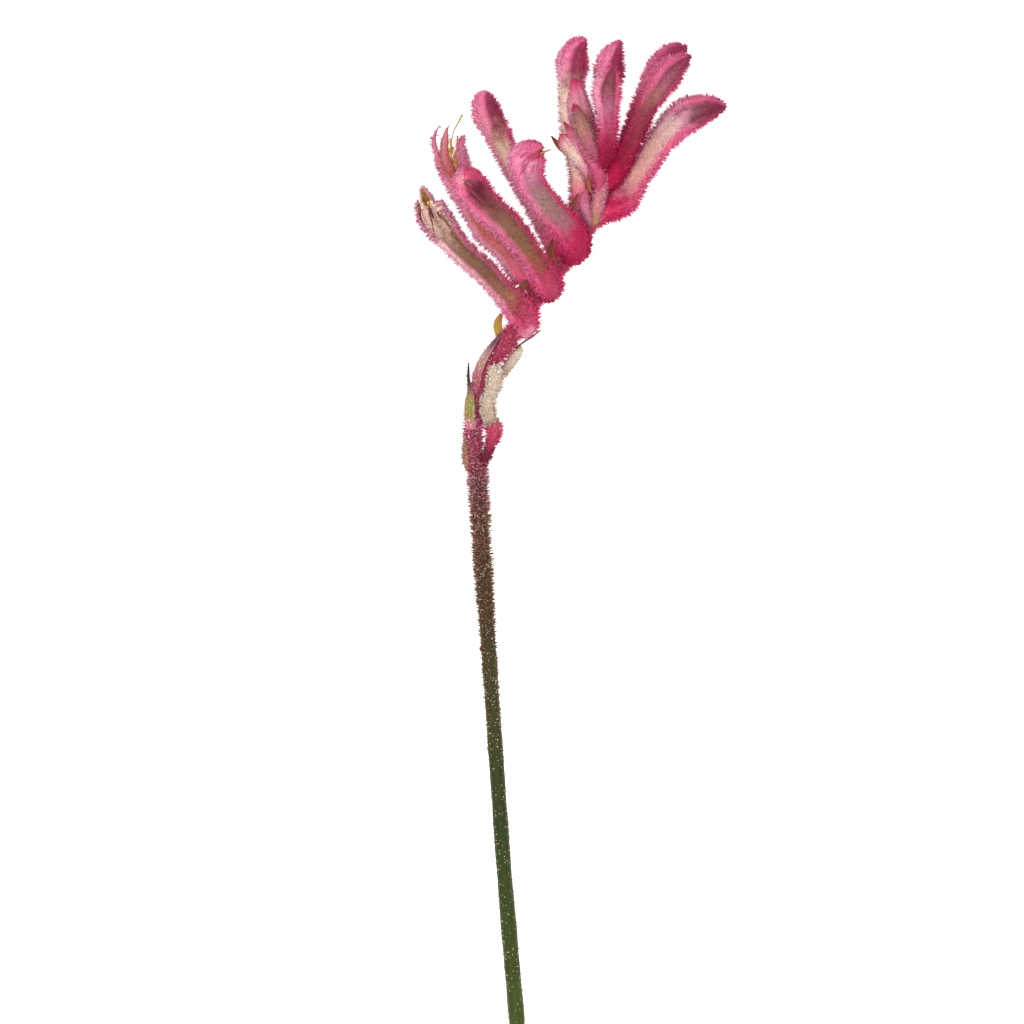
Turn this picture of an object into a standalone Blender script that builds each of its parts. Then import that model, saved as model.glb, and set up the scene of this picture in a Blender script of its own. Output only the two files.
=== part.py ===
# Kangaroo paw: one cut flowering stem, laid down on a surface.
# X runs across, Y along the stem from its cut end to the flowers, Z up.
# The flowers fan out from a zigzag stalk, each a felted tube with a hooked, ridged cap.

import math

import bmesh
import bpy
from mathutils import Vector

MM = 0.001

# Driving dimensions, in millimetres
JOINT_GAP = 0.3
STEM_SIDES_RESOLUTION = 3
STEM_STEPS = 52
RING_SIDES = 12
FLOWER_RINGS = 26
BUD_RINGS = 14
BLADE_THICKNESS = 0.65
STYLE_RADIUS = 0.32
PEDICEL_RADIUS = 1.25
YOUNG_PEDICEL_RADIUS = 0.85
RIDGE_DEPTH = 0.055
RIDGE_START = 0.45
RIDGE_GROWTH = 0.3
CAP_LENGTH = 13.5
THROAT_DEPTH = 3.2
GROUND_BLOCK = 400.0

# How a flower swells: millimetres along it, and the share of its knob's, tube's or cap's radius there
KNOB_SWELL = [(1.4, 0.78), (3.0, 1.0), (5.0, 0.98)]
TUBE_START = 9.0
MOUTH_SWELL = [(-5.0, 0.97), (0.0, 1.0)]
MOUTH_START = -13.0
CAP_SWELL = [(7.5, 1.0), (10.0, 0.95), (11.8, 0.74), (13.0, 0.42), (CAP_LENGTH, 0.18)]
CAP_SHOULDER = 4.0

# How finely curves are read, how far a blade's middle rises, and how sharply rings may turn
CURVE_STEPS = 24
BLADE_CUP = 0.25
BLADE_ROWS = 8
LOBE_ROWS = 6
STYLE_ROWS = 8
TURN_LIMIT = 0.75
WELD_DISTANCE = 0.01

# Colours, linear red, green and blue
STEM_GREEN = (0.13, 0.20, 0.06)
FELT_PINK = (0.50, 0.14, 0.24)
BUD_PINK = (0.55, 0.20, 0.25)
DRY_CREAM = (0.62, 0.50, 0.38)
BRACT_BROWN = (0.28, 0.12, 0.04)
BRACT_GREEN = (0.30, 0.38, 0.07)
BRACT_OLIVE = (0.36, 0.28, 0.05)
BRACT_MAUVE = (0.42, 0.22, 0.22)

# The stalk's middle line from the cut end up: x, y, z and radius in millimetres
STEM_LINE = [
    (1.5, 0.0, 1.85, 2.05),
    (-0.8, 25.5, 3.3, 2.05),
    (-2.7, 47.3, 4.7, 2.05),
    (-4.4, 68.1, 6.1, 1.95),
    (-6.0, 91.0, 7.6, 1.95),
    (-7.8, 117.0, 9.2, 1.9),
    (-9.4, 140.7, 10.7, 1.9),
    (-10.5, 158.9, 11.8, 2.0),
    (-11.1, 168.7, 12.3, 2.05),
    (-12.0, 175.5, 12.6, 2.0),
    (-12.0, 182.0, 12.9, 2.0),
    (-10.9, 188.5, 13.1, 2.0),
    (-8.6, 195.0, 13.3, 2.0),
    (-5.2, 200.2, 13.4, 2.05),
    (-1.3, 205.4, 13.5, 2.1),
    (2.6, 211.9, 13.5, 2.0),
    (7.3, 218.4, 13.5, 1.9),
    (11.7, 223.1, 13.5, 1.75),
    (15.1, 227.5, 13.5, 1.6),
    (17.7, 231.9, 13.5, 1.35),
    (19.2, 236.6, 13.5, 1.15),
    (20.0, 240.5, 13.5, 1.1),
    (20.4, 247.0, 13.3, 1.0),
]

# Flowers from the lowest up. The line starts inside the stalk and ends at the tip of the cap.
FLOWERS = {
    "flower_1": {
        "line": [(1.0, 205.4, 14.0), (1.8, 207.0, 16.6), (1.0, 209.6, 19.0), (-1.3, 211.9, 19.3),
                 (-7.3, 218.1, 18.2), (-15.6, 227.0, 16.8), (-19.5, 231.4, 16.2), (-22.4, 235.0, 15.8),
                 (-24.4, 237.6, 15.6)],
        "pedicel": 1.6, "knob": 3.0, "tube": 2.5, "cap": 2.9, "root": PEDICEL_RADIUS, "open": True,
    },
    "flower_2": {
        "line": [(5.5, 215.6, 12.8), (3.4, 217.4, 10.6), (1.3, 220.0, 9.6), (-3.1, 225.7, 9.2),
                 (-10.4, 234.3, 8.7), (-15.3, 242.8, 8.0), (-17.4, 247.5, 7.4), (-18.6, 251.4, 7.0)],
        "pedicel": 2.0, "knob": 3.0, "tube": 2.4, "cap": 3.3, "root": PEDICEL_RADIUS, "open": True,
    },
    "flower_3": {
        "line": [(6.6, 213.9, 14.0), (8.1, 215.0, 16.6), (7.5, 217.4, 19.0), (5.5, 220.5, 19.9),
                 (-1.3, 229.1, 20.2), (-6.0, 234.8, 20.6), (-9.4, 238.7, 20.9), (-12.0, 241.8, 21.2),
                 (-13.6, 244.0, 22.2), (-14.2, 244.8, 24.2), (-14.0, 244.2, 26.0)],
        "pedicel": 1.8, "knob": 3.1, "tube": 2.7, "cap": 3.25, "root": PEDICEL_RADIUS, "open": False,
    },
    "flower_4": {
        "line": [(11.2, 223.0, 12.8), (9.6, 226.2, 10.6), (8.6, 229.6, 8.8), (6.5, 233.7, 7.6),
                 (0.8, 243.9, 5.8), (-4.7, 253.5, 4.3), (-6.8, 257.9, 3.4), (-8.3, 262.6, 2.5),
                 (-8.7, 265.5, 2.9), (-8.3, 267.2, 3.8)],
        "pedicel": 3.4, "knob": 2.95, "tube": 2.35, "cap": 3.0, "root": PEDICEL_RADIUS, "open": False,
    },
    "flower_5": {
        "line": [(12.7, 223.9, 14.2), (14.0, 225.2, 16.6), (13.8, 227.2, 19.0), (12.2, 230.9, 20.3),
                 (8.8, 236.2, 20.9), (5.5, 241.3, 21.4), (2.9, 245.4, 22.0), (1.6, 248.6, 22.6),
                 (2.0, 251.0, 23.0), (3.4, 252.4, 23.2), (5.5, 252.4, 23.4)],
        "pedicel": 1.8, "knob": 3.2, "tube": 2.9, "cap": 3.4, "root": PEDICEL_RADIUS, "open": False,
    },
    "flower_6": {
        "line": [(17.4, 231.0, 13.3), (16.4, 234.0, 12.7), (16.0, 237.4, 11.9), (16.0, 240.8, 10.9),
                 (15.3, 247.0, 9.6), (14.0, 254.8, 8.8), (13.4, 262.6, 8.3), (13.3, 270.4, 7.9),
                 (13.5, 274.8, 7.7), (14.4, 278.0, 7.9), (15.7, 279.6, 8.1), (17.0, 280.2, 8.3)],
        "pedicel": 5.4, "knob": 2.65, "tube": 2.35, "cap": 3.2, "root": 1.2, "open": False,
    },
    "flower_7": {
        "line": [(20.2, 244.4, 12.8), (20.5, 247.5, 10.4), (21.7, 252.2, 9.8), (22.6, 257.4, 9.2),
                 (22.8, 263.9, 7.8), (23.0, 270.4, 7.0), (23.4, 274.6, 6.9), (24.4, 278.2, 7.1),
                 (25.6, 280.0, 7.3)],
        "pedicel": 2.4, "knob": 1.95, "tube": 1.9, "cap": 2.75, "root": YOUNG_PEDICEL_RADIUS,
        "open": False,
    },
    "flower_8": {
        "line": [(20.8, 246.0, 13.6), (21.7, 247.8, 17.2), (22.3, 250.4, 19.3), (22.6, 254.8, 19.8),
                 (22.4, 261.3, 20.0), (22.4, 266.0, 20.2), (22.9, 269.4, 20.4), (24.1, 273.0, 20.6)],
        "pedicel": 3.6, "knob": 1.85, "tube": 2.0, "cap": 2.6, "root": YOUNG_PEDICEL_RADIUS,
        "open": False,
    },
    "flower_9": {
        "line": [(19.6, 237.6, 13.0), (21.0, 239.6, 10.2), (23.0, 243.4, 8.2), (25.0, 248.5, 7.3),
                 (28.1, 254.8, 6.6), (32.0, 264.4, 5.8), (35.1, 270.9, 5.5), (38.0, 275.1, 5.4),
                 (41.1, 277.7, 5.5), (43.2, 278.6, 5.8)],
        "pedicel": 3.2, "knob": 2.1, "tube": 1.85, "cap": 2.75, "root": YOUNG_PEDICEL_RADIUS,
        "open": False,
    },
    "flower_10": {
        "line": [(19.8, 239.9, 13.5), (21.8, 241.7, 13.5), (24.2, 245.2, 13.4), (25.8, 249.5, 13.7),
                 (28.3, 256.1, 14.0), (32.5, 263.1, 14.0), (35.9, 268.6, 13.9), (38.5, 272.2, 13.8),
                 (41.6, 274.8, 13.8), (44.2, 276.4, 13.9)],
        "pedicel": 2.2, "knob": 2.0, "tube": 1.85, "cap": 2.75, "root": YOUNG_PEDICEL_RADIUS,
        "open": False,
    },
    "flower_11": {
        "line": [(18.0, 232.0, 13.5), (20.3, 233.7, 13.0), (22.4, 235.3, 12.6), (25.0, 236.9, 12.0),
                 (27.0, 239.2, 11.3), (29.6, 243.9, 10.2), (32.5, 248.6, 9.0), (36.4, 254.5, 7.3),
                 (39.5, 258.2, 5.7), (43.2, 261.3, 4.0), (46.8, 262.9, 2.9), (49.9, 263.5, 2.8),
                 (52.5, 263.6, 3.2)],
        "pedicel": 5.2, "knob": 3.1, "tube": 2.35, "cap": 3.25, "root": 1.2, "open": False,
    },
}

# Flowers that have withered on the stalk: x, y, z and radius along each
DRIED_FLOWERS = {
    "dried_flower_1": [
        (-10.9, 169.4, 12.8, 1.1), (-9.4, 171.6, 14.9, 1.35), (-7.8, 175.2, 16.0, 1.7),
        (-7.0, 178.4, 16.6, 2.15), (-7.3, 181.0, 16.9, 2.0), (-8.1, 184.1, 17.1, 1.75),
        (-7.8, 187.7, 17.1, 1.9), (-7.0, 191.4, 17.0, 1.9), (-6.5, 194.5, 16.9, 1.5),
        (-6.4, 195.9, 16.9, 0.7),
    ],
    "dried_flower_2": [
        (-9.9, 190.8, 12.9, 0.8), (-6.8, 192.1, 11.6, 0.9), (-4.4, 194.7, 11.8, 1.2),
        (-2.1, 197.3, 12.2, 1.35), (-0.3, 199.8, 12.5, 1.1), (0.3, 200.7, 12.6, 0.5),
    ],
}
# The dead style that stands out of the second one
AWN_LINE = [(-0.3, 199.8, 12.5), (-0.2, 201.4, 12.6), (2.4, 203.7, 12.5), (5.2, 205.4, 12.4)]

# Buds at the growing tip of the stalk: x, y, z and radius along each
BUDS = {
    "bud_1": [
        (20.4, 246.2, 13.3, 0.7), (19.8, 249.6, 13.2, 0.8), (18.7, 254.3, 13.4, 1.1),
        (17.4, 258.4, 14.0, 1.65), (16.1, 262.6, 14.6, 2.0), (15.1, 266.5, 14.9, 1.6),
        (14.3, 270.4, 15.0, 0.35),
    ],
    "bud_2": [
        (19.5, 244.7, 13.7, 0.55), (19.1, 247.8, 16.2, 0.7), (18.7, 250.6, 17.9, 1.1),
        (18.5, 253.5, 18.2, 1.5), (17.4, 256.6, 18.4, 1.75), (16.1, 259.7, 18.6, 1.5),
        (14.2, 263.4, 18.8, 0.3),
    ],
    "bud_3": [
        (19.6, 241.6, 13.2, 0.6), (17.4, 245.6, 13.0, 0.6), (15.6, 249.2, 13.3, 0.75),
        (14.3, 251.4, 13.8, 1.4), (12.7, 253.5, 14.0, 1.55), (10.9, 255.8, 14.1, 0.4),
    ],
}

# Bracts: x, y, z and half width from root to tip, and the way the blade faces
BRACTS = {
    "bract_1": ([(-13.2, 169.0, 12.6, 0.9), (-14.6, 171.0, 12.7, 1.1), (-14.8, 175.0, 12.8, 1.0),
                 (-15.1, 179.4, 12.8, 0.3)], (-1.0, 0.0, 0.1), BRACT_OLIVE),
    "bract_2": ([(-12.6, 179.0, 13.8, 0.8), (-13.5, 182.5, 15.4, 1.3), (-13.3, 186.5, 15.8, 1.55),
                 (-13.1, 190.0, 15.6, 1.0), (-13.2, 193.5, 15.3, 0.45), (-13.3, 197.3, 15.0, 0.3)],
                (-0.35, 0.0, 1.0), BRACT_GREEN),
    "bract_3": ([(-11.6, 187.6, 13.4, 0.7), (-12.4, 192.0, 14.3, 1.0), (-10.9, 197.0, 14.8, 1.1),
                 (-8.3, 201.0, 15.1, 0.9), (-6.6, 203.2, 15.2, 0.6), (-5.4, 204.6, 15.4, 0.3)],
                (-0.6, 0.4, 0.7), BRACT_MAUVE),
    "bract_4": ([(-4.0, 203.0, 13.6, 0.7), (-6.8, 205.2, 13.2, 1.2), (-7.3, 207.6, 13.0, 1.3),
                 (-6.6, 209.4, 12.9, 0.8), (-5.8, 210.8, 12.8, 0.3)], (-0.5, 0.2, 1.0), BRACT_OLIVE),
    "bract_5": ([(2.0, 212.4, 14.2, 0.6), (0.4, 214.9, 15.2, 1.0), (0.9, 217.0, 15.3, 0.85),
                 (2.3, 218.8, 15.2, 0.3)], (-0.3, 0.2, 1.0), BRACT_BROWN),
    "bract_6": ([(9.8, 221.8, 14.2, 0.6), (7.9, 224.4, 15.2, 1.0), (7.9, 226.8, 15.4, 0.8),
                 (8.6, 229.3, 15.3, 0.3)], (-0.3, 0.1, 1.0), BRACT_BROWN),
    "bract_7": ([(16.1, 229.6, 14.0, 0.6), (13.4, 232.8, 14.9, 0.9), (13.0, 235.8, 15.0, 1.0),
                 (13.9, 238.6, 15.0, 0.7), (15.3, 241.0, 14.9, 0.3)], (-0.4, 0.0, 1.0), BRACT_BROWN),
    "bract_8": ([(19.4, 238.4, 14.1, 0.5), (18.1, 240.8, 14.8, 0.7), (17.7, 243.6, 14.6, 0.6),
                 (17.3, 246.2, 14.5, 0.3)], (-0.3, 0.0, 1.0), BRACT_BROWN),
}
# Bracts that grow from a bud's own foot
BUD_BRACTS = {
    "bud_2": ([(19.2, 247.4, 15.8, 0.3), (17.9, 248.8, 15.6, 0.7), (16.4, 251.2, 15.7, 1.0),
               (14.8, 254.5, 16.2, 1.2), (13.0, 257.1, 15.6, 1.0), (11.3, 259.6, 13.8, 0.35)],
              (-0.2, 0.1, 1.0)),
    "bud_3": ([(14.3, 251.2, 13.4, 0.5), (11.6, 252.2, 12.9, 0.9), (9.8, 253.8, 12.9, 0.8),
               (8.0, 256.0, 13.2, 0.3)], (0.0, 0.2, 1.0)),
}

# Lobes of the open flowers: x, y, z and half width from the throat to the tip, and the outward side
LOBES = {
    "flower_1": [
        ([(-22.6, 237.0, 13.6, 1.3), (-24.2, 240.0, 13.2, 1.2), (-25.2, 243.0, 13.7, 0.35)],
         (0.2, 0.2, -1.0)),
        ([(-25.0, 234.6, 15.8, 1.4), (-26.6, 237.2, 16.2, 1.3), (-27.2, 240.0, 16.8, 0.5)],
         (-1.0, -0.4, 0.2)),
        ([(-21.4, 236.2, 17.0, 1.4), (-20.6, 238.8, 17.6, 1.3), (-21.0, 240.2, 16.2, 0.6)],
         (0.7, 0.6, 0.5)),
        ([(-23.4, 234.6, 18.0, 1.2), (-24.0, 236.6, 19.4, 1.0), (-25.0, 237.6, 20.6, 0.4)],
         (-0.3, 0.0, 1.0)),
    ],
    "flower_2": [
        ([(-21.2, 250.0, 8.4, 1.4), (-22.2, 253.6, 8.5, 1.1), (-22.1, 256.6, 8.4, 0.65),
          (-21.1, 258.3, 8.2, 0.3)], (-0.8, 0.0, 0.6)),
        ([(-19.3, 249.6, 9.9, 1.5), (-19.6, 253.6, 10.2, 1.2), (-19.2, 256.8, 10.3, 0.7),
          (-18.5, 258.6, 10.2, 0.3)], (-0.2, 0.0, 1.0)),
        ([(-15.9, 249.4, 9.0, 1.7), (-15.5, 252.9, 9.4, 1.5), (-15.3, 255.9, 9.5, 0.9)],
         (0.5, 0.0, 1.0)),
        ([(-19.8, 249.8, 4.5, 1.4), (-19.9, 252.9, 4.3, 1.3), (-19.4, 255.8, 4.8, 0.4)],
         (-0.4, 0.0, -1.0)),
        ([(-16.4, 249.8, 4.9, 1.4), (-16.2, 252.7, 4.7, 1.2), (-16.3, 255.2, 5.2, 0.4)],
         (0.4, 0.0, -1.0)),
    ],
}

# Styles that stand out of two flowers, from inside the flower to the tip
STYLES = {
    "flower_2": [(-17.9, 248.0, 7.3), (-18.0, 252.6, 7.8), (-16.8, 257.6, 9.2), (-15.1, 261.2, 10.4)],
    "flower_5": [(4.2, 252.0, 23.3), (6.3, 251.4, 23.6), (8.0, 251.9, 23.7)],
}


def millimetres(point):
    return Vector(point[:3]) * MM


def clear_scene():
    for item in list(bpy.data.objects):
        bpy.data.objects.remove(item, do_unlink=True)


def new_collection(name):
    collection = bpy.data.collections.new(name)
    bpy.context.scene.collection.children.link(collection)
    return collection


def felt(name, colour, roughness):
    surface = bpy.data.materials.new(name)
    surface.use_nodes = True
    shader = surface.node_tree.nodes["Principled BSDF"]
    shader.inputs["Base Color"].default_value = (*colour, 1.0)
    shader.inputs["Roughness"].default_value = roughness
    shader.inputs["Metallic"].default_value = 0.0
    return surface


def smooth_line(points, steps):
    """Read a smooth curve through hand-placed points; a fourth number is carried along."""
    size = len(points[0])
    ends = [points[0]] + list(points) + [points[-1]]
    fine = []
    for index in range(1, len(ends) - 2):
        for part in range(CURVE_STEPS):
            t = part / CURVE_STEPS
            before, start, stop, after = ends[index - 1:index + 3]
            fine.append([
                0.5 * (2 * start[k] + (stop[k] - before[k]) * t
                       + (2 * before[k] - 5 * start[k] + 4 * stop[k] - after[k]) * t * t
                       + (3 * start[k] - before[k] - 3 * stop[k] + after[k]) * t ** 3)
                for k in range(size)
            ])
    fine.append(list(points[-1]))
    lengths = [0.0]
    for first, second in zip(fine, fine[1:]):
        lengths.append(lengths[-1] + math.dist(first[:3], second[:3]))
    even = []
    slot = 0
    for step in range(steps):
        target = lengths[-1] * step / (steps - 1)
        while slot < len(lengths) - 2 and lengths[slot + 1] < target:
            slot += 1
        share = (target - lengths[slot]) / (lengths[slot + 1] - lengths[slot])
        even.append([a + (b - a) * share for a, b in zip(fine[slot], fine[slot + 1])])
    return even, lengths[-1]


def ring_frames(line, radii):
    """Turn each ring toward the curve, but never so fast that two rings would cross."""
    normal = (Vector(line[1][:3]) - Vector(line[0][:3])).normalized()
    side = normal.cross(Vector((0.0, 0.0, 1.0)))
    side = side.normalized() if side.length > 0.2 else Vector((1.0, 0.0, 0.0))
    frames = [(side, normal.cross(side), normal)]
    for index in range(1, len(line)):
        here = Vector(line[index][:3])
        step = here - Vector(line[index - 1][:3])
        ahead = Vector(line[min(index + 1, len(line) - 1)][:3]) - Vector(line[index - 1][:3])
        ahead.normalize()
        reach = max(step.dot(normal), 0.0)
        limit = TURN_LIMIT * reach / max(radii[index], radii[index - 1])
        angle = normal.angle(ahead)
        if angle > limit:
            ahead = normal.slerp(ahead, limit / angle)
        turn = normal.rotation_difference(ahead)
        side = turn @ side
        side = (side - ahead * side.dot(ahead)).normalized()
        normal = ahead
        frames.append((side, normal.cross(side), normal))
    return frames


def between(pairs, place):
    """Read a radius off a list of (place, radius) pairs, easing from one to the next."""
    for (start, first), (stop, second) in zip(pairs, pairs[1:]):
        if place <= stop:
            t = (place - start) / max(stop - start, 1e-9)
            t = t * t * (3.0 - 2.0 * t)
            return first + (second - first) * t
    return pairs[-1][1]


def flower_radius(flower, place, length):
    """Radius along a flower: a thin foot, a round ovary, the tube and the swollen cap."""
    foot = flower["pedicel"]
    knob, tube, cap = flower["knob"], flower["tube"], flower["cap"]
    top = length if flower["open"] else length - CAP_LENGTH
    pairs = [(0.0, flower["root"]), (foot, flower["root"])]
    pairs += [(foot + along, share * knob) for along, share in KNOB_SWELL]
    pairs += [(foot + TUBE_START, tube)]
    if flower["open"]:
        pairs += [(top + MOUTH_START, tube)]
        pairs += [(top + along, share * cap) for along, share in MOUTH_SWELL]
    else:
        pairs += [(top, tube), (top + CAP_SHOULDER, 0.5 * (tube + cap))]
        pairs += [(top + along, share * cap) for along, share in CAP_SWELL]
    return between(pairs, place)


def ridge(share, corner):
    """Six shallow ribs that grow toward the cap, where the six lobes meet."""
    depth = RIDGE_DEPTH * max(0.0, min(1.0, (share - RIDGE_START) / RIDGE_GROWTH))
    return 1.0 + depth * (1 if corner % 2 == 0 else -1)


def loft(name, line, radii, collection, surface, ribbed=False, throat=False):
    """Skin a row of rings; an open flower's throat is a blind cup."""
    frames = ring_frames(line, radii)
    mesh = bmesh.new()
    rows = []
    count = len(line)

    def add_row(centre, frame, radius, share):
        side, up, _ = frame
        row = []
        for corner in range(RING_SIDES):
            angle = math.tau * corner / RING_SIDES
            reach = radius * (ridge(share, corner) if ribbed else 1.0)
            offset = side * math.cos(angle) * reach + up * math.sin(angle) * reach
            row.append(mesh.verts.new((centre + offset) * MM))
        rows.append(row)

    for index, point in enumerate(line):
        add_row(Vector(point[:3]), frames[index], radii[index], index / (count - 1))
    end = Vector(line[-1][:3])
    normal = frames[-1][2]
    last = end + normal * 0.25 * radii[-1]
    if throat:
        add_row(end - normal * 0.2, frames[-1], 0.78 * radii[-1], 1.0)
        add_row(end - normal * 0.6 * THROAT_DEPTH, frames[-1], 0.55 * radii[-1], 1.0)
        last = end - normal * THROAT_DEPTH
    for lower, upper in zip(rows, rows[1:]):
        for corner in range(RING_SIDES):
            follow = (corner + 1) % RING_SIDES
            mesh.faces.new((lower[corner], lower[follow], upper[follow], upper[corner]))
    foot = mesh.verts.new(Vector(line[0][:3]) * MM)
    tip = mesh.verts.new(last * MM)
    for corner in range(RING_SIDES):
        follow = (corner + 1) % RING_SIDES
        mesh.faces.new((rows[0][follow], rows[0][corner], foot))
        mesh.faces.new((rows[-1][corner], rows[-1][follow], tip))
    bmesh.ops.triangulate(mesh, faces=mesh.faces[:])
    bmesh.ops.recalc_face_normals(mesh, faces=mesh.faces[:])
    return finish_mesh(name, mesh, collection, surface)


def finish_mesh(name, mesh, collection, surface):
    data = bpy.data.meshes.new(name)
    mesh.to_mesh(data)
    mesh.free()
    data.shade_smooth()
    item = bpy.data.objects.new(name, data)
    if surface:
        data.materials.append(surface)
    collection.objects.link(item)
    return item


def blade(name, stations, facing, collection, surface, rows=BLADE_ROWS):
    """A lance-shaped blade: an open cupped strip that Solidify thickens."""
    line, _ = smooth_line(stations, rows)
    facing = Vector(facing).normalized()
    mesh = bmesh.new()
    grid = []
    for index, point in enumerate(line):
        here = Vector(point[:3])
        ahead = Vector(line[min(index + 1, rows - 1)][:3]) - Vector(line[max(index - 1, 0)][:3])
        across = ahead.normalized().cross(facing).normalized()
        out = across.cross(ahead.normalized())
        half = point[3]
        places = (here - across * half, here + out * BLADE_CUP * half, here + across * half)
        grid.append([mesh.verts.new(place * MM) for place in places])
    for lower, upper in zip(grid, grid[1:]):
        for column in range(2):
            mesh.faces.new((lower[column], lower[column + 1], upper[column + 1], upper[column]))
    bmesh.ops.triangulate(mesh, faces=mesh.faces[:])
    bmesh.ops.recalc_face_normals(mesh, faces=mesh.faces[:])
    item = finish_mesh(name, mesh, collection, surface)
    thicken = item.modifiers.new("thickness", "SOLIDIFY")
    thicken.thickness = BLADE_THICKNESS * MM
    thicken.offset = 0.0
    return item


def tube(name, line, radii, collection, surface):
    """A round stalk: a bevelled curve turned into a closed mesh."""
    curve = bpy.data.curves.new(name, "CURVE")
    curve.dimensions = "3D"
    curve.bevel_depth = MM
    curve.bevel_resolution = STEM_SIDES_RESOLUTION
    curve.use_fill_caps = True
    spline = curve.splines.new("POLY")
    spline.points.add(len(line) - 1)
    for target, point, radius in zip(spline.points, line, radii):
        target.co = (*millimetres(point), 1.0)
        target.radius = radius
    guide = bpy.data.objects.new(name + "_curve", curve)
    collection.objects.link(guide)
    graph = bpy.context.evaluated_depsgraph_get()
    data = bpy.data.meshes.new_from_object(guide.evaluated_get(graph))
    data.name = name
    weld = bmesh.new()
    weld.from_mesh(data)
    bmesh.ops.remove_doubles(weld, verts=weld.verts[:], dist=WELD_DISTANCE * MM)
    bmesh.ops.recalc_face_normals(weld, faces=weld.faces[:])
    weld.to_mesh(data)
    weld.free()
    data.shade_smooth()
    data.materials.clear()
    if surface:
        data.materials.append(surface)
    item = bpy.data.objects.new(name, data)
    item.matrix_world = guide.matrix_world.copy()
    collection.objects.link(item)
    bpy.data.objects.remove(guide, do_unlink=True)
    return item


def join(item, extras):
    """Fuse a flower with its lobes or style in one body."""
    group = bpy.data.collections.new(item.name + "_extras")
    bpy.context.scene.collection.children.link(group)
    for extra in extras:
        for owner in list(extra.users_collection):
            owner.objects.unlink(extra)
        group.objects.link(extra)
    union = item.modifiers.new("fuse", "BOOLEAN")
    union.operation = "UNION"
    union.operand_type = "COLLECTION"
    union.collection = group
    union.solver = "EXACT"
    union.use_self = True
    graph = bpy.context.evaluated_depsgraph_get()
    data = bpy.data.meshes.new_from_object(item.evaluated_get(graph))
    item.modifiers.clear()
    item.data = data
    for extra in extras:
        bpy.data.objects.remove(extra, do_unlink=True)
    bpy.data.collections.remove(group)


def cut(item, cutter):
    trim = item.modifiers.new("clear_of_" + cutter.name, "BOOLEAN")
    trim.operation = "DIFFERENCE"
    trim.object = cutter
    trim.solver = "EXACT"


def make_cutter(item):
    item.hide_render = True
    item.display_type = "WIRE"
    return item


def make_stem(parts, cutters):
    line, _ = smooth_line(STEM_LINE, STEM_STEPS)
    radii = [point[3] for point in line]
    stem = tube("stem", line, radii, parts, felt("stem_skin", STEM_GREEN, 0.6))
    wide = [radius + JOINT_GAP for radius in radii]
    ends = [line[0], line[-1]]
    for end, beside in zip((0, -1), (1, -2)):
        outward = (Vector(line[end][:3]) - Vector(line[beside][:3])).normalized() * JOINT_GAP
        ends[end] = [*(Vector(line[end][:3]) + outward), line[end][3]]
    longer = [ends[0], *line[1:-1], ends[-1]]
    sleeve = make_cutter(tube("stem_sleeve", longer, wide, cutters, None))
    return stem, sleeve


def make_flowers(parts, sleeve):
    made = []
    for name, flower in FLOWERS.items():
        surface = felt(name + "_felt", FELT_PINK, 0.9)
        line, length = smooth_line(flower["line"], FLOWER_RINGS)
        places = [length * index / (FLOWER_RINGS - 1) for index in range(FLOWER_RINGS)]
        radii = [flower_radius(flower, place, length) for place in places]
        item = loft(name, line, radii, parts, surface, ribbed=True, throat=flower["open"])
        extras = []
        for index, (stations, facing) in enumerate(LOBES.get(name, [])):
            extras.append(blade(f"{name}_lobe_{index}", stations, facing, parts, surface, rows=LOBE_ROWS))
        if name in STYLES:
            style, _ = smooth_line(STYLES[name], STYLE_ROWS)
            extras.append(tube(name + "_style", style, [STYLE_RADIUS] * STYLE_ROWS, parts, surface))
        if extras:
            join(item, extras)
        cut(item, sleeve)
        made.append(item)
    return made


def make_dried_flowers(parts, sleeve):
    made = []
    for name, stations in DRIED_FLOWERS.items():
        surface = felt(name + "_paper", DRY_CREAM, 0.9)
        line, _ = smooth_line(stations, BUD_RINGS + 4)
        item = loft(name, line, [point[3] for point in line], parts, surface, ribbed=True)
        if name == "dried_flower_2":
            awn, _ = smooth_line(AWN_LINE, STYLE_ROWS)
            join(item, [tube("awn", awn, [STYLE_RADIUS] * STYLE_ROWS, parts, surface)])
        cut(item, sleeve)
        made.append(item)
    return made


def make_buds(parts, sleeve):
    made = []
    for name, stations in BUDS.items():
        surface = felt(name + "_felt", BUD_PINK, 0.9)
        line, _ = smooth_line(stations, BUD_RINGS)
        item = loft(name, line, [point[3] for point in line], parts, surface, ribbed=True)
        if name in BUD_BRACTS:
            join(item, [blade(name + "_bract", *BUD_BRACTS[name], parts, surface)])
        cut(item, sleeve)
        made.append(item)
    return made


def make_bracts(parts, sleeve):
    made = []
    for name, (stations, facing, colour) in BRACTS.items():
        item = blade(name, stations, facing, parts, felt(name + "_skin", colour, 0.6))
        cut(item, sleeve)
        made.append(item)
    return made


def make_ground(cutters):
    """A block under the surface that the flower lies on, which flattens what touches it."""
    bpy.ops.mesh.primitive_cube_add(size=GROUND_BLOCK * MM)
    block = bpy.context.object
    for owner in list(block.users_collection):
        owner.objects.unlink(block)
    cutters.objects.link(block)
    block.name = "ground_block"
    block.location = (0.0, 0.5 * GROUND_BLOCK * MM, -0.5 * GROUND_BLOCK * MM)
    return make_cutter(block)


def bounds(items):
    graph = bpy.context.evaluated_depsgraph_get()
    low = Vector((math.inf,) * 3)
    high = Vector((-math.inf,) * 3)
    for item in items:
        seen = item.evaluated_get(graph)
        for vertex in seen.data.vertices:
            place = item.matrix_world @ vertex.co
            low = Vector(map(min, low, place))
            high = Vector(map(max, high, place))
    return low, high


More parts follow.
